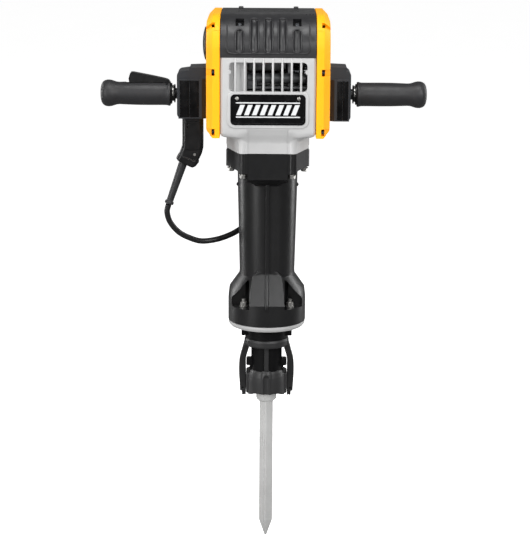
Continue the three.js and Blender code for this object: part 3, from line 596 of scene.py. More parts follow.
def scoop_rim(x, top_angle, side, half_width=8.6, low_angle=-4.5):
    """Raised bead along one side of a scoop, meeting its twin over the ends."""
    cap = math.degrees(half_width / FRONT_ARC_R)
    route = []
    for k in range(7):
        turn = math.radians(-97 + 97 * k / 6)
        route.append((math.cos(turn), low_angle + cap + cap * math.sin(turn)))
    for k in range(1, 12):
        route.append((1, low_angle + cap + (top_angle - low_angle - 2 * cap) * k / 12))
    for k in range(7):
        turn = math.radians(97 * k / 6)
        route.append((math.cos(turn), top_angle - cap + cap * math.sin(turn)))
    path = [front_point(x + side * half_width * across, angle) for across, angle in route]
    return sweep(path, [BEAD_R] * len(path), 12)


def front_bead(x, low_angle, high_angle, corner):
    """Bead down one side of the hood's front panel, round its corner and on to the middle."""
    side = 1 if x > 0 else -1
    cap = math.degrees(corner / FRONT_ARC_R)
    path = []
    for k in range(21):
        inset = 0.1 + 1.6 * max(1 - k / 6, 0)
        path.append(front_point(x, high_angle + (low_angle + cap - high_angle) * k / 20, inset))
    for k in range(1, 7):
        turn = math.radians(90 * k / 6)
        across = x - side * corner * (1 - math.cos(turn))
        path.append(front_point(across, low_angle + cap - cap * math.sin(turn), 0.1))
    path += [front_point(x * (1 - k / 6), low_angle, 0.1) for k in (2, 3, 4, 5)]
    path.append(front_point(-0.2 * side, low_angle, 0.1))
    return sweep(path, [BEAD_R] * len(path), 12)


def top_hood():
    outer, inner = HOOD_HIGH[0], HOOD_LOW[0]
    rim = [(0, 1.4), (0.4, 0.5), (1.4, 0)]
    stations = [(inner + d, inset) for d, inset in rim] + [(outer - d, inset) for d, inset in reversed(rim)]
    hood = loft([[(x, y, z) for y, z in head_profile(inset, 64)] for x, inset in stations])
    wide = (inner - 5, outer + 5)
    lower = block(wide, (-200, 200), (HEAD_BOTTOM_Z - 50, SEAM_Z))
    hollow = prism("x", head_profile(9, 48), wide)
    hood = cut(hood, lower, hollow)

    hood = cut(hood, *[groove(x, top_angle) for x, top_angle in SCOOPS])
    for x in POCKETS_X:
        pocket = slab("y", (-8.6, 8.6), (-11, 11), (-7, 8.4), 1.6, 0.2)
        hood = cut(hood, on_arc(pocket, x, POCKET_ANGLE))
    beads = [front_bead(x, low_angle=-5.6, high_angle=47, corner=9) for x in (-82, 82)]
    for x, top_angle in SCOOPS:
        beads += [scoop_rim(x, top_angle, side) for side in (-1, 1)]
    hood = join(hood, *beads)
    for k in range(3):
        hood = cut(hood, on_arc(rod("y", 2.2, (-5, 4), (0, 0), 24), 75.5 + 7 * k, 80))
    for k in range(9):
        y = -8 + 9.5 * k
        vent = slab("z", (-62, 62), (y, y + 3.6), (HEAD_TOP_Z - 2.2, HEAD_TOP_Z + 4), 1.7, 0.2)
        hood = cut(hood, vent)
    finish(bevelled(hood, 1.2, 3, 28), "hood_shell", HOOD, replaces="top_hood")


def hood_details():
    screws, seats = [], []
    for x in POCKETS_X:
        head = turned("y", [(0, -4.6), (3.6, -4.6), (4.4, -3.6), (4.4, 2), (0, 2)], (0, 0), 32)
        head = cut(head, block((-0.8, 0.8), (-6, -3.4), (-3.4, 3.4)))
        head = cut(head, block((-3.4, 3.4), (-6, -3.4), (-0.8, 0.8)))
        screws.append(on_arc(head, x, POCKET_ANGLE - 4, 6.4))
        # Thin near-black sheets on the pockets' floors: painted shade in the pocket recesses.
        shade_sheet = slab("y", (-8.3, 8.3), (-10.7, 10.7), (-0.5, 0.5), 1.4, 0.1)
        seats.append(on_arc(shade_sheet, x, POCKET_ANGLE, 7.9))
    finish(merged(screws), "hood_screws", DARK_STEEL)
    finish(merged(seats), "hood_pocket_shade_sheets", SHADE_BLACK)
    top = (HEAD_TOP_Z - 1, HEAD_TOP_Z + 3.4)
    bumps = [slab("z", (x - 5, x + 5), (70, 88), top, 3, 1.6) for x in POCKETS_X]
    finish(merged(bumps), "hood_pads", HOOD)


def intake_cap():
    low, high = limits("intake_cap")
    face, base = low[0], high[0]
    profile = [(0, face)]
    for k in range(1, 5):
        turn = math.radians(15 * k)
        profile.append((30 * math.sin(turn), face + 5.5 * (1 - math.cos(turn))))
    profile += [(29.5, face + 3.6), (32.5, face + 4.6), (34.4, face + 6.4), (35, face + 8.4)]
    profile += [(35, base - 8.4), (29.6, base - 8.4), (29.6, base), (24, base)]
    profile += [(24, base - 11), (0, base - 11)]
    cap = turned("x", profile, CAP_AT)
    for y in range(-10, 27, 9):
        cap = cut(cap, slab("x", (y, y + 4), (1044, 1080), (face - 2, face + 4.5), 1.9, 0.2))
    finish(shade(cap, 40), "intake_dome", BLACK, replaces="intake_cap")


# --- gear case
def polar_outline(points, samples=160):
    """Outline of a convex polygon sampled at even angles about (0, RAY_Y), which lies inside it."""
    outline = []
    for k in range(samples):
        turn = 2 * math.pi * k / samples
        u, v = math.cos(turn), math.sin(turn)
        reach = math.inf
        for (x1, y1), (x2, y2) in zip(points, points[1:] + points[:1]):
            dx, dy = x2 - x1, y2 - y1
            across = u * dy - v * dx
            crossing = (x1 * dy - (y1 - RAY_Y) * dx) / across if abs(across) > 1e-9 else 0
            if crossing > 0:
                reach = min(reach, crossing)
        outline.append((reach * u, RAY_Y + reach * v))
    return outline


def soft_step(t):
    return t * t * (3 - 2 * t)


def front_weight(x, y):
    """1 on the middle of the neck's front, 0 at its sides, with a soft change between."""
    return soft_step(min(max((62 - abs(x)) / 12, 0), 1)) if y < -60 else 0


def shoulder(box, neck, t):
    """One ring between head and neck: a ledge with two fillets at the sides, a long curve in front."""
    ledge = [(0, 897), (0.02, 893), (0.1, 888.5), (0.25, 886), (0.6, 884.6), (0.85, 882.5), (0.96, 878),
             (1, 872)]
    position = t * (len(ledge) - 1)
    k = min(int(position), len(ledge) - 2)
    part = position - k
    side = [ledge[k][i] + (ledge[k + 1][i] - ledge[k][i]) * part for i in (0, 1)]
    front = [soft_step(t), CASE_FLOOR_Z + 3 - FRONT_DROP * t]
    ring = []
    for (bx, by), (nx, ny) in zip(box, neck):
        weight = front_weight(bx, by)
        blend, z = (a + (b - a) * weight for a, b in zip(side, front))
        ring.append((bx + (nx - bx) * blend, by + (ny - by) * blend, z))
    return ring


def gear_case():
    corners = rounded_rectangle((CASE_LOW[0], CASE_HIGH[0]), (CASE_LOW[1], CASE_HIGH[1]), 7, 6)
    box = polar_outline(corners)
    neck = polar_outline(NECK_OUTLINE)
    top = SEAM_Z - 0.4
    rings = [[(x, y, z) for x, y in box] for z in (top, CASE_FLOOR_Z + 4)]
    rings += [shoulder(box, neck, k / 14) for k in range(15)]
    rings.append([(x, y, NECK_Z) for x, y in neck])
    case = loft(rings)

    columns = []
    for x, _ in COLLAR_BOLTS[:2]:
        dome = [(0, NECK_Z), (COLUMN_R, NECK_Z), (COLUMN_R, 893), (COLUMN_R - 1, 899),
                (COLUMN_R - 3.5, 904), (0, 907)]
        columns.append(turned("z", dome, (x, COLUMN_Y), 48))
    columns += [rod("z", 10, (NECK_Z, 880), at, 40) for at in COLLAR_BOLTS[2:]]
    border = slab("y", (-81.5, 81.5), (905.5, 980.5), (HEAD_FRONT_Y - 2.2, HEAD_FRONT_Y + 3), 15, 1.6)
    case = join(case, *columns, border)

    inside = CASE_HIGH[0] - 8
    cavity = block((-inside, inside), (HEAD_FRONT_Y + 11, CASE_HIGH[1] - 10), (CASE_FLOOR_Z, top + 5))
    well = rod("x", 67.5, (51, 69.5), CRANK_AT)
    bore = rod("z", 44, (NECK_Z - 2, CASE_FLOOR_Z + 2))
    window = prism("y", rounded_rectangle((-78, 78), (979, 1037), 8), (-125, -95))
    seats = [rod("z", 4.8, (NECK_Z - 2, 870), at, 24) for at in COLLAR_BOLTS]
    curve = [(HEAD_FRONT_Y - 0.1, CASE_FLOOR_Z + 5)]
    for k in range(1, 9):
        y = HEAD_FRONT_Y + (NECK_FRONT_Y - HEAD_FRONT_Y) * soft_step(k / 8) + PANEL_DEPTH
        curve.append((y, CASE_FLOOR_Z + 3 - FRONT_DROP * k / 8))
    curve += [(NECK_FRONT_Y + PANEL_DEPTH, 800), (-130, 800), (-130, CASE_FLOOR_Z + 5)]
    panel = prism("x", curve, (-PANEL_X, PANEL_X))
    case = cut(case, cavity, well, bore, window, panel, *seats)
    depth = (HEAD_FRONT_Y + 0.6, HEAD_FRONT_Y + 10.5)
    bosses = [rod("y", 4.4, depth, (x, 1018), 28) for x in (-78, 78)]
    liner = block((-inside - 1, -43), (-104, -96), (972, top - 2))
    case = join(case, *bosses, liner)
    finish(bevelled(case, 1.1, 3, 34), "case_casting", SILVER, replaces="gear_case")


def bearing_webs():
    """Walls inside the casting that hold the shafts' bearings."""
    motor = (0, MOTOR_Z)
    wall, through = (40, 50), (38, 52)
    web = block(wall, (-58, 81), (CASE_FLOOR_Z + 0.5, SEAM_Z - 1.4))
    web = join(web, rod("x", 30, wall, motor), block(wall, (-30, 30), (1030, MOTOR_Z)))
    for radius, at in ((22.4, CRANK_AT), (13.4, LAYSHAFT_AT), (16.4, motor)):
        web = cut(web, rod("x", radius, through, at))
    wall = (-95.4, -88.5)
    carrier = join(rod("x", 30, wall, motor), block(wall, (-30, 30), (1046.5, MOTOR_Z)))
    carrier = cut(carrier, rod("x", 16.4, (-98, -86), motor))
    webs = merged([bevelled(web, 0.8, 2), bevelled(carrier, 0.8, 2)])
    finish(webs, "bearing_webs", LIT_WEB)


def air_guide():
    tube = turned("x", [(0, -42), (9.4, -42), (10, -41.4), (10, 75.4), (9.4, 76), (0, 76)], (-72, 1001), 48)
    ledge = join(block((-42, 76), (-100, -62), (983, 985.4)), block((-42, 76), (-100, -97.6), (983, 987.5)))
    plug = bevelled(block((-42, -22), (-96, -62), (987, 998)), 1.5, 3)
    guide = merged([tube, bevelled(ledge, 0.5, 2), plug])
    finish(guide, "air_guide", SHADE_DUCT)


def grille_bars():
    bars = []
    depth, height = (HEAD_FRONT_Y - 1.1, HEAD_FRONT_Y + 9.6), (976.5, SEAM_Z - 0.8)
    for k in range(8):
        x = (k - 3.5) * 18.7
        bars.append(slab("z", (x - 2.2, x + 2.2), depth, height, 1.6, 0.5, steps=5))
    finish(merged(bars), "grille_bars", SILVER)


def name_plate():
    low, high = limits("name_plate")
    plate = slab("y", (low[0], high[0]), (low[2], high[2]), (low[1], high[1]), 9, 0.9)
    face = low[1] + 0.7
    sunk = slab("y", (-71, 71), (916, 970), (low[1] - 3, face), 6, 0.2)
    finish(bevelled(cut(plate, sunk), 0.3, 2), "blank_plate", GLOSS, replaces="name_plate")
    marks = []
    depth = (face - 0.8, face + 0.4)
    for z in (928.5, 957):
        marks.append(slab("y", (-64, 64), (z - 1.2, z + 1.2), depth, 1, 0.3))
    for k in range(8):
        x = (k - 3.5) * 15.6
        stripe = [(x - 8.6, 932.5), (x + 0.6, 932.5), (x + 8.6, 953), (x - 0.6, 953)]
        marks.append(prism("y", stripe, depth))
    finish(merged(marks), "plate_stripes", INK)
    rivets = []
    for x in (-61.5, 61.5):
        at = (x, 965.5)
        dome = [(0, face - 1.2), (2.2, face - 1.1), (3.4, face - 0.3), (3.4, face + 1), (0, face + 1)]
        rivets.append(cut(turned("y", dome, at, 32), rod("y", 1.3, (face - 3, face - 0.4), at, 6)))
    finish(merged(rivets), "plate_screws", ZINC)


def rear_cover():
    low, high = limits("rear_cover")
    cover = slab("y", (low[0], high[0]), (low[2], high[2]), (low[1], high[1]), 12, 3)
    back = high[1]
    through = (low[1] + 3, back + 5)
    slots = [slab("y", (-58, 58), (z, z + 6), through, 2.9, 0.2) for z in range(928, 1004, 15)]
    cover = cut(cover, *slots)
    finish(bevelled(cover, 0.7, 2), "rear_panel", BLACK, replaces="rear_cover")
    screws = []
    for x in (-74, 74):
        for z in (912, 1026):
            dome = [(0, back + 1.6), (3.6, back + 1.4), (4.6, back - 1), (0, back - 1)]
            screws.append(cut(turned("y", dome, (x, z), 32), rod("y", 2, (back + 0.4, back + 4), (x, z), 6)))
    finish(merged(screws), "rear_screws", DARK_STEEL)


def motor():
    rim = [(31, 0), (MOTOR_R - 3, 0), (MOTOR_R - 2, 1), (MOTOR_R - 2, 12), (MOTOR_R, 13)]
    profile = [(r, STATOR_LOW[0] + w) for r, w in rim] + [(r, STATOR_HIGH[0] - w) for r, w in reversed(rim)]
    stack = turned("x", profile + profile[:1], (0, MOTOR_Z))
    finish(shade(stack), "stator_stack", LIT_MOTOR_CAN, replaces="motor_stator")


# --- barrel
def barrel_housing():
    foot = FLANGE_Z
    profile = [(0, foot), (79.5, foot), (80.6, foot + 0.5), (81, foot + 1.6), (81, 530), (80.6, 538),
               (78.4, 556), (58, 585), (57.4, 592), (61.4, 760), (62, 800), (62, 846), (0, 846)]
    body = turned("z", profile)
    neck = polar_outline(NECK_OUTLINE)
    waist = polar_outline(arc((0, 0), 61, 0, 355, 71))
    top = BARREL_HIGH[2]
    rings = [[(x, y, top) for x, y in neck]]
    for k in range(9):
        t = k / 8
        ring = []
        for (nx, ny), (wx, wy) in zip(neck, waist):
            weight = front_weight(nx, ny)
            blend = soft_step(t) * weight + min(t * 2.2, 1) ** 0.7 * (1 - weight)
            z = (802 - 26 * t) * weight + (815.5 - 22 * t) * (1 - weight)
            ring.append((nx + (wx - nx) * blend, ny + (wy - ny) * blend, z))
        rings.append(ring)
    collar = loft(rings)
    ears = [rod("y", 3.4, (-4, 4), (x, 772), 24) for x in (-61, 61)]
    bosses = [rod("z", COLUMN_R, (807, top), (x, COLUMN_Y), 40) for x, _ in COLLAR_BOLTS[:2]]
    bosses += [rod("z", 10.5, (808, 842), at, 40) for at in COLLAR_BOLTS[2:]]
    body = join(body, collar, *bosses, *ears)
    recess = rounded_rectangle((-PANEL_X, PANEL_X), (786, 900), 2)
    body = cut(body, prism("y", recess, (-120, NECK_FRONT_Y + PANEL_DEPTH)))
    windows = []
    for side in (-1, 1):
        triangle = flip([(36.5, 520), (36.5, 579), (41, 577), (72.5, 540), (73.5, 536), (73.5, 520)], side)
        windows += [prism("y", triangle, span_at(end, 24, 100)) for end in (-1, 1)]
    ahead = prism("x", [(-60.2, 588), (-81.4, 530), (-95, 530), (-95, 588)], (-36.6, 36.6))
    panel = [(20, -55.5, 598), (31, -60.2, 588), (36.6, -81.4, 530)]
    panel += [(x, -40, z) for x, _, z in panel]
    body = cut(body, ahead, *windows)
    body = join(body, rod("z", 51, (480, 600)), hull(panel + [(-x, y, z) for x, y, z in panel]))
    bore = turned("z", [(0, foot - 2), (24.4, foot - 2), (24.4, 493), (20.6, 493), (20.6, 560), (38.4, 560),
                        (38.4, top + 2), (0, top + 2)])
    seats = [block(span_at(side, 41.2, 62), (-112, -83), (770, 810.5)) for side in (-1, 1)]
    seats += [rod("z", 11.5, (770, 805), at, 40) for at in COLLAR_BOLTS[2:]]
    seats += [rod("z", 4.9, (foot - 3, 530), at, 24) for at in FLANGE_BOLTS]
    body = cut(body, bore, *seats)
    finish(bevelled(body, 1.0, 3, 30), "barrel_casting", CASTING, replaces="barrel_housing")


def barrel_spine():
    front = [(-66.5, 809), (-67, 803), (-62.8, 600), (-63.2, 589), (-83.4, 534), (-83.2, 522), (-82.4, 519)]
    outline = front + [(-60, 519), (-60, 530), (-50, 560), (-50, 806)]
    spine = bevelled(prism("x", outline, (-4.2, 4.2)), 2.2, 5, 25)
    finish(spine, "barrel_spine", CASTING)


def hex_bolt(at, head, shank, flats, flange):
    """Flanged hexagon bolt with its head at the bottom or top of the shank."""
    radius = flats / math.sqrt(3)
    low, high = head
    hexagon = prism("z", arc(at, radius, 0, 300, 5), head)
    crown = [(0, low - 1), (radius - 1.4, low), (radius + 0.2, low + 1.6), (radius + 0.2, high - 1.6),
             (radius - 1.4, high), (0, high + 1)]
    hexagon = keep(hexagon, turned("z", crown, at, 48))
    return join(hexagon, rod("z", 4.2, shank, at, 32), rod("z", flats / 2 + 2.2, flange, at, 48))


def fasteners():
    for k, at in enumerate(COLLAR_BOLTS, 1):
        low, high = limits(f"collar_bolt_{k}")
        base = low[2] + (9 if k <= 2 else 5.5)
        bolt = hex_bolt(at, (base, base + 7), (base + 2, high[2]), 12, (base + 6.4, base + 8.4))
        finish(bevelled(bolt, 0.3, 2), f"collar_screw_{k}", ZINC, replaces=f"collar_bolt_{k}")
    for k, at in enumerate(FLANGE_BOLTS, 1):
        base = limits(f"flange_bolt_{k}")[0][2]
        bolt = hex_bolt(at, (522.4, 531), (base, 537), 13, (520.2, 523))
        finish(bevelled(bolt, 0.3, 2), f"flange_screw_{k}", ZINC, replaces=f"flange_bolt_{k}")


def flange_ring():
    low, high = (corner[2] for corner in limits("flange_ring"))
    profile = [(24.4, low), (74, low), (75.6, low + 0.4), (79.2, low + 4.4), (80, low + 6), (80, high - 0.6),
               (79.4, high), (24.4, high), (24.4, low)]
    ring = turned("z", profile, (0, 0), 128)
    ring = cut(ring, *[rod("z", 4.9, (low - 3, high + 3), at, 24) for at in FLANGE_BOLTS])
    finish(shade(ring, 30), "silver_flange", SILVER, replaces="flange_ring")


# --- nose and retainer
def circle(radius, z, y=0, sides=48):
    """Points of a level circle round (0, y)."""
    return [(u, v, z) for u, v in arc((0, y), radius, 0, 360, sides)[:-1]]


def nose_piece():
    top = limits("nose_piece")[1][2]
    hub = rod("z", 45, (446, top))
    ears = slab("z", (-53, 53), (-17, 17), (451, top), 3, 1)
    stem = rod("z", 32.5, (366, 448))
    posts = slab("z", (-36, 36), (-8, 16), (366, 392), 4, 1)
    lugs = slab("y", (-42.6, 42.6), (384.5, 398), (-13, 13), 3, 1.5)
    socket = [(0, 350), (28, 350), (28, 372), (24.4, 372), (24.4, 480), (0, 480)]
    neck = cut(join(hub, ears, stem, posts, lugs), turned("z", socket))
    # The neck takes the darker copy of the casting as painted shade, since it sits back under the hub and
    # behind the cup.
    finish(bevelled(neck, 0.9, 2), "nose_neck", SHADE_BLACK)

    dome = [(38, 352), (37.4, 362), (35.5, 371), (31.5, 379), (26, 385)]
    foot = [(x, y, 319 - 0.26 * min(y, 0)) for x, y, _ in circle(38, 0)]
    cup = hull(foot + [p for radius, z in dome for p in circle(radius, z)])
    dome = [(17.5, 326.5), (17.5, 362), (16, 371), (12, 378)]
    bulge = hull([p for radius, z in dome for p in circle(radius, z, -22.5, 40)])
    yoke = slab("z", (-43.2, 43.2), (-6, 44), (318, 366), 8, 3)
    side = [(-20, 372), (-34, 374), (-36.5, 380), (-36.5, 421), (-38, 432), (-38, 445.6), (-20, 445.6)]
    cup = join(cup, bulge, yoke, prism("x", side, (-4.4, 4.4)))
    bore = turned("z", [(0, 300), (28, 300), (28, 366), (32.7, 366), (32.7, 480), (0, 480)])
    hole = rod("x", 7.5, (-50, 50), RETAINER_AT, 40)
    flute = hull(circle(8.2, 300, -43.6, 32) + circle(8.2, 364, -43.6, 32) + [(0, -44, 378)])
    sides = [block(span_at(sign, 38.6, 60), (-30, 5), (300, 329)) for sign in (-1, 1)]
    cup = cut(cup, bore, hole, flute, *sides)
    finish(cast(cup, 0.8, 3, 0.45), "nose_casting", NOSE_CAST, replaces="nose_piece")


def retainer_bail():
    profile = [(39, 430), (40, 429), (45.5, 429), (47, 432), (47, 441), (45.2, 445.4), (40.5, 445.4),
               (39, 444), (39, 430)]
    band = keep(turned("z", profile), block((-60, 60), (-60, 3), (420, 448)))
    side = [(-15, 445.5), (9, 445.5), (12, 432), (24, 400), (40, 356), (43, 342), (43, 326), (38, 318),
            (34, 309), (21, 309), (15, 320), (14, 340), (12, 356), (1, 390), (-11, 418), (-18, 430)]
    outer = [(44, 446), (48, 431), (52, 415), (56, 399), (58.2, 384), (58.4, 360), (57.2, 338),
             (56.2, 321)]
    foot = [(52.5, 320), (52, 309.5), (44, 309.5)]
    inner = [(43.6, 321), (43.6, 345), (43.8, 372), (43.8, 388), (42.6, 402), (38, 420), (35.6, 431),
             (35, 446)]
    front = smooth_path(outer, 4) + foot + smooth_path(inner, 4)
    arms = [keep(prism("x", side, (-62, 62)), prism("y", flip(front, sign), (-60, 60))) for sign in (-1, 1)]
    bail = join(band, *arms)
    bore = rod("x", 7.35, (-62, 62), RETAINER_AT, 40)
    split = [block(span_at(sign, 46.5, 48.2), (10, 50), (300, 318)) for sign in (-1, 1)]
    ties = [rod("y", 2.0, (10, 50), (sign * 50.6, 327), 20) for sign in (-1, 1)]
    bail = cut(bail, bore, *split, *ties)
    cast(bail, 0.7, 2, 0.5)
    finish(bail, "retainer_yoke", NOSE_CAST, "retainer", replaces="retainer_bail")


# --- chisel
def rounded_hexagon(flats, corner, steps=4):
    """Hexagon with rounded corners, one corner facing -y."""
    radius = flats / math.sqrt(3) - corner / math.cos(math.radians(30))
    points = []
    for k, centre in enumerate(arc((0, 0), radius, 30, 330, 5)):
        points += arc(centre, corner, 60 * k, 60 * k + 60, steps)
    return points


def chisel():
    top = limits("chisel_bit")[1][2]
    flats, point_z = 28.6, 37
    stations = [(0.0, 3.2), (0.8, 4.4), (point_z - 2, flats - 1.6), (point_z + 1.5, flats), (top - 5, flats),
                (top, flats - 6)]
    rings = []
    for z, across in stations:
        rings.append([(x, y, z) for x, y in rounded_hexagon(across, min(1.2, across * 0.2))])
    collar = [(0, 303), (14.2, 303), (15.5, 304), (17.5, 306), (19.6, 307.6), (21, 309.6), (21.5, 312),
              (21.5, 341), (26.2, 341), (26.5, 341.6), (26.5, 348), (25.6, 350.6), (23, 352), (0, 352)]
    bit = shade(join(loft(rings), turned("z", collar)), 25)
    finish(bit, "chisel_tool", BIT_STEEL, "chisel", replaces="chisel_bit")


# --- handles
def bracket(side):
    name = HAND[side]
    low, high = limits(f"handle_bracket_{name}")
    inner, outer = COVER_HIGH[0] + 0.4, max(abs(low[0]), abs(high[0])) - 2.5
    bottom, top, rim_top = low[2], high[2], 993.5
    outline = [(inner, bottom + 2), (outer - 12, bottom + 2)]
    outline += arc((outer - 8, bottom + 10), 8, 270, 360, 6)
    outline += arc((outer - 10, top - 18.5), 10, 0, 90, 6)
    outline += [(inner + 37, top - 6.5), (inner + 35, top - 1.5), (inner, top)]
    body = prism("y", flip(outline, side), (-34, 34))
    body = join(body, block(span_at(side, inner + 1.5, outer - 3), (-38, 38), (bottom + 1, rim_top)))
    start, end = inner + 16, outer - 5.5
    panel = slab("y", span_at(side, start, end), (bottom + 3.5, rim_top - 2.5), (-45, -35.4), 1.5, 0.2)
    corner = flip([(inner - 1, -40), (inner + 13, -40), (inner - 1, -30)], side)
    chamfer = prism("z", corner, (bottom - 1, rim_top + 0.5))
    floor = 917 if side < 0 else 935
    slot = block(span_at(side, 131, outer + 3), (-17, 17), (floor, 985))
    pivot = (side * PIVOT_X, HANDLE_Z)
    hole = rod("y", 5.4, (-50, 50), pivot, 32)
    body = cut(body, panel, chamfer, slot, hole)
    bevelled(body, 1.3, 3, 30)
    finish(body, f"bracket_{name}", BRACKET, replaces=f"handle_bracket_{name}")
    seam = (start + end) / 2
    faces = []
    for near, far in ((start, seam), (seam, end)):
        wide = span_at(side, near + 0.6, far - 0.6)
        face = slab("y", wide, (bottom + 4.1, rim_top - 3.1), (-37.7, -34.2), 1.2, 0.5)
        faces.append(cut(face, rod("y", 5.4, (-37.2, -30), pivot, 32)))
    finish(merged(faces), f"bracket_face_{name}", GLOSS)


def grip_profile(length):
    profile = [(11.4, 0), (24.6, 0), (25.4, 0.8), (25.6, 2.2), (25.4, 4), (24.6, 6), (24.2, 9)]
    profile += [(24.1, 20), (24.3, 45), (24.1, 70), (23.4, 92), (22.9, 104), (23.4, 110)]
    profile += [(25, 115), (26.6, 120), (27.4, 125), (27.3, 130), (26, 134.6), (23.2, 138.6), (18.6, 141.4)]
    profile += [(12, 143), (0, 143.6)]
    profile += [(0, length - 12), (11.4, length - 12), (11.4, 0)]
    return profile


def grip(side):
    name = HAND[side]
    low, high = limits(f"grip_{name}")
    start = high[0] if side < 0 else low[0]
    profile = [(r, start + side * w) for r, w in grip_profile(high[0] - low[0])]
    sleeve = turned("x", profile, (0, HANDLE_Z))
    if side < 0:
        slot = slab("z", (-292, -196), (-9.7, 9.7), (973.3, 1000), 3, 0.2)
        sleeve = cut(sleeve, slot, rod("y", 2.9, (-40, 40), TRIGGER_AT, 24))
    shade(sleeve, 40)
    finish(sleeve, f"grip_sleeve_{name}", RUBBER, f"handle_{name}", replaces=f"grip_{name}")


def grip_collar(side):
    """Flanges and clamp between the grip and its bracket."""
    name = HAND[side]
    start = min(abs(corner[0]) for corner in limits(f"grip_{name}"))
    near = max(abs(corner[0]) for corner in limits(f"handle_bracket_{name}")) + 2.2
    profile = [(11.2, start - 0.2), (20.6, start - 0.2), (21.4, start - 1), (21.4, start - 2.6)]
    profile += [(20.6, start - 3.2), (15.6, start - 3.4), (15.6, near + 2.6), (18.6, near + 2.2)]
    profile += [(19, near + 1.6), (18.6, near), (11.2, near), (11.2, start - 0.2)]
    flange = turned("x", [(r, side * w) for r, w in profile], (0, HANDLE_Z), 72)
    finish(shade(flange), f"grip_flange_{name}", BLACK, f"handle_{name}")
    middle = (start - 3.4 + near + 2.4) / 2
    section = [(15, -1.2), (17.2, -1.2), (17.6, -0.8), (17.6, 0.8), (17.2, 1.2), (15, 1.2), (15, -1.2)]
    clip = turned("x", [(r, side * (middle + w)) for r, w in section], (0, HANDLE_Z), 72)
    clip = keep(clip, block((-400, 400), (-30, 4), (HANDLE_Z - 3, HANDLE_Z + 30)))
    finish(shade(clip), f"grip_clip_{name}", ZINC, f"handle_{name}")


def trigger():
    outline = [(-201.4, 979), (-201.6, 986), (-206, 989.4), (-214, 991.6), (-240, 997), (-276, 1003.8),
               (-280.4, 1003.6), (-282.6, 1001), (-285.6, 991), (-284.4, 984), (-282, 982.8), (-215, 982.8),
               (-212.6, 977.4), (-204, 976.8)]
    paddle = cut(prism("y", outline, (-9, 9)), rod("y", 2.9, (-20, 20), TRIGGER_AT, 24))
    bevelled(paddle, 1.4, 4, 25)
    finish(paddle, "trigger_paddle", BLACK, "trigger", replaces="trigger")


# --- cord
def boot_ring(left, right, half_y, corner=8):
    """Rounded rectangle spanned between two points (x, z) and half_y to both sides."""
    along = Vector((right[0] - left[0], 0, right[1] - left[1]))
    centre = Vector((left[0] + right[0], 0, left[1] + right[1])) / 2
    half = along.length / 2
    along.normalize()
    outline = rounded_rectangle((-half, half), (-half_y, half_y), min(corner, half - 1), 6)
    return [tuple(centre + along * u + Vector((0, v, 0))) for u, v in outline]


def cord_boot():
    top = limits("cord_boot")[1][2]
    stations = [((-176, top), (-133, top), 19), ((-176, 868), (-133, 864), 19),
                ((-176.4, 855), (-133.2, 848), 18.8), ((-178.5, 847), (-135.5, 838), 18.5),
                ((-182.5, 838), (-142, 824), 18.2), ((-186.6, 829), (-149, 812), 17.8),
                ((-188, 825.6), (-151, 808.6), 17.2), ((-186, 822), (-155, 807), 15.6)]
    boot = loft([boot_ring(*station) for station in stations])
    upper = boot_ring((-184.6, 834.6), (-141.6, 819), 19.2, 9)
    lid = loft([upper, boot_ring((-189.2, 826.4), (-149.2, 809.6), 18.6, 9)])
    step = slab("y", (-171, -138), (846, 905), (-20.4, -15), 6, 1.4)
    boot = join(boot, lid, step)
    holes = [rod("y", 1.7, (-25, -17), (-164, z), 20) for z in (899, 893)]
    seam = prism("y", [(-190, 841.5), (-189, 840.2), (-139, 823.6), (-139, 825.2)], (-25, 25))
    core = loft([boot_ring((-175, 860), (-134, 860), 17.6), boot_ring((-184, 830), (-147, 814), 16.6)])
    boot = cut(boot, *holes, seam)
    boot = join(boot, core)
    finish(cast(boot, 0.8, 2, 0.5), "cord_guard", BLACK, replaces="cord_boot")
    screw = turned("y", [(0, -20.6), (2.6, -20.4), (3, -19.4), (3, -15), (0, -15)], (-150.5, 836), 24)
    finish(shade(screw), "guard_screw", ZINC)


def cord_relief():
    start, end = Vector((-172.4, 0, 823.3)), Vector((-205, 0, 730))
    count = 44
    path = [start.lerp(end, k / count) for k in range(count + 1)]
    radii = [9.2 - 2.2 * k / count for k in range(count + 1)]
    radii[:2] = [radius + 0.8 for radius in radii[:2]]
    radii[-3:] = [9.4] * 3
    sleeve = sweep(path, radii, 32)
    finish(shade(sleeve, 60), "cord_sleeve", RUBBER, replaces="cord_relief")


def power_cord():
    points = [(-205.7, 0, 728.2), (-209, 3, 711), (-203, 10, 688), (-185, 22, 664), (-160, 36, 648),
              (-137, 48, 640), (-105, 60, 642), (-75, 72, 651), (-52, 86, 662), (-36, 92, 665.5)]
    path = smooth_path(points, 10)
    cord = sweep(path, [6.0] * len(path), 28)
    finish(shade(cord, 60), "cord_run", CORD, replaces="power_cord")
    start, end = (corner[0] for corner in limits("power_plug"))
    profile = [(0, start), (8.4, start), (9, start + 1)]
    for k in range(5):
        radius, w = 9.4 + 0.3 * k, start + 3 + 4 * k
        profile += [(radius, w), (radius, w + 2), (radius - 1, w + 2.4), (radius - 1, w + 3.6)]
    profile += [(13, start + 24), (16.4, start + 27), (17, start + 30)]
    profile += [(17, end - 4), (16, end - 1), (14, end), (0, end)]
    plug = turned("x", profile, (93, 666), 64)
    finish(shade(plug, 40), "plug_body", RUBBER, replaces="power_plug")


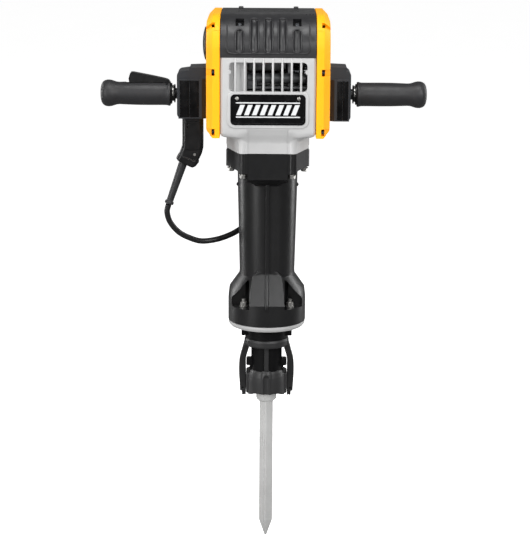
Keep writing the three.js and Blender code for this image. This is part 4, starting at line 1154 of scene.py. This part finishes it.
# --- CAD nodes that stay
CAD_FINISHES = [
    (BRONZE, ["hex_bushing"]),
    (COPPER, ["commutator"]),
    (LAMINATED, ["armature"]),
    (BLACK, ["switch_block", "cooling_fan"]),
    (RUBBER, ["buffer_ring", "dust_seal"]),
    (BLACK_STEEL, ["pivot_pin_left", "pivot_pin_right", "handle_arm_left", "handle_arm_right",
                   "trigger_pin"]),
    (DARK_STEEL, ["crankshaft", "layshaft", "connecting_rod", "ram", "beat_piece"]),
    (STEEL, ["cylinder_sleeve", "crank_bearing_inner", "crank_bearing_outer", "layshaft_bearing_inner",
             "layshaft_bearing_outer", "motor_bearing_left", "motor_bearing_right", "crank_gear",
             "layshaft_gear", "drive_piston", "wrist_pin", "crank_pin", "retainer_shaft"]),
]


def dress_cad():
    for material, nodes in CAD_FINISHES:
        for node in nodes:
            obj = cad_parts[node]
            obj.data.materials.clear()
            obj.data.materials.append(material)
            add_bevel(obj, 0.35, 2, 40)


# --- stage
CAMERA_DISTANCE = 3.700
CAMERA_HEIGHT = 1.442
CAMERA_PITCH = 13.0
CAMERA_ROLL = 0.35
CAMERA_LENS = 120.377           # millimetres, on a 36 mm sensor
CAMERA_SHIFT = -0.0037


def camera():
    data = bpy.data.cameras.new("camera")
    data.sensor_width = 36
    data.lens = CAMERA_LENS
    data.shift_x = CAMERA_SHIFT
    data.clip_end = 100
    obj = add_object("camera", data)
    turn = Matrix.Rotation(math.radians(90 - CAMERA_PITCH), 4, "X")
    roll = Matrix.Rotation(math.radians(CAMERA_ROLL), 4, "Z")
    obj.matrix_world = Matrix.Translation((0, -CAMERA_DISTANCE, CAMERA_HEIGHT)) @ turn @ roll
    bpy.context.scene.camera = obj


ROOM_LIGHT = 0.42       # brightness of the room for diffuse light
ROOM_REFLECTED = 0.24   # and for reflections, which keeps the blacks deep


LIGHTS = [  # name, place, height aimed at, size, watts
    ("key", (2.0, -2.8, 2.3), 0.75, (0.8, 2.4), 78),
    ("fill", (-2.4, -2.4, 1.5), 0.7, (0.5, 2.6), 78),
    ("front", (0.3, -2.8, 1.74), 0.7, (0.5, 0.35), 15),
    ("top", (0, -0.9, 3.0), 1.0, (1.8, 0.9), 40),
    ("rim_left", (-2.4, 1.3, 1.2), 0.7, (0.5, 2.4), 34),
    ("rim_right", (2.4, 1.3, 1.2), 0.7, (0.5, 2.4), 34),
]


def area_light(name, place, aim, size, power):
    data = bpy.data.lights.new(name, "AREA")
    data.shape = "RECTANGLE"
    data.size, data.size_y = size
    data.energy = power
    obj = add_object(name, data)
    obj.location = place
    obj.rotation_euler = (Vector((0, 0, aim)) - Vector(place)).to_track_quat("-Z", "Y").to_euler()


def studio():
    corners = [(-30000, -9000, -0.5), (30000, -9000, -0.5), (30000, 40000, -0.5), (-30000, 40000, -0.5)]
    floor = make_object(corners, [(0, 1, 2, 3)], "floor")
    material = bpy.data.materials.new("studio_paper")
    material.use_nodes = True
    paper = Nodes(material.node_tree)
    inputs = paper.tree.nodes["Principled BSDF"].inputs
    tone = paper.mix(paper.spread(paper.noise(3, 2), 0, 1), grey(0.93), grey(0.95))
    bounce = paper.mix(paper.output("LightPath", "Is Glossy Ray"), grey(0.5), grey(0.2))
    seen = paper.output("LightPath", "Is Camera Ray")
    paper.link(paper.mix(seen, bounce, tone), inputs["Base Color"])
    inputs["Emission Color"].default_value = grey(1)
    paper.link(paper.spread(seen, 0, 0.6, 0, 1), inputs["Emission Strength"])
    inputs["Roughness"].default_value = 0.9
    floor.data.materials.append(material)
    world = bpy.data.worlds.new("studio")
    world.use_nodes = True
    room = Nodes(world.node_tree)
    light = room.mix(room.output("LightPath", "Is Glossy Ray"), grey(ROOM_LIGHT), grey(ROOM_REFLECTED))
    light = room.mix(room.output("LightPath", "Is Camera Ray"), light, grey(1))
    room.link(light, room.tree.nodes["Background"].inputs["Color"])
    bpy.context.scene.world = world
    bpy.context.scene.view_settings.view_transform = "Standard"
    for light in LIGHTS:
        area_light(*light)


# --- assembly
for hand in HAND:
    side_cover(hand)
    cover_screws(hand)
top_hood()
hood_details()
intake_cap()
gear_case()
bearing_webs()
air_guide()
grille_bars()
name_plate()
rear_cover()
motor()
barrel_housing()
barrel_spine()
fasteners()
flange_ring()
nose_piece()
retainer_bail()
chisel()
for hand in HAND:
    bracket(hand)
    grip(hand)
    grip_collar(hand)
trigger()
cord_boot()
cord_relief()
power_cord()
dress_cad()
camera()
studio()
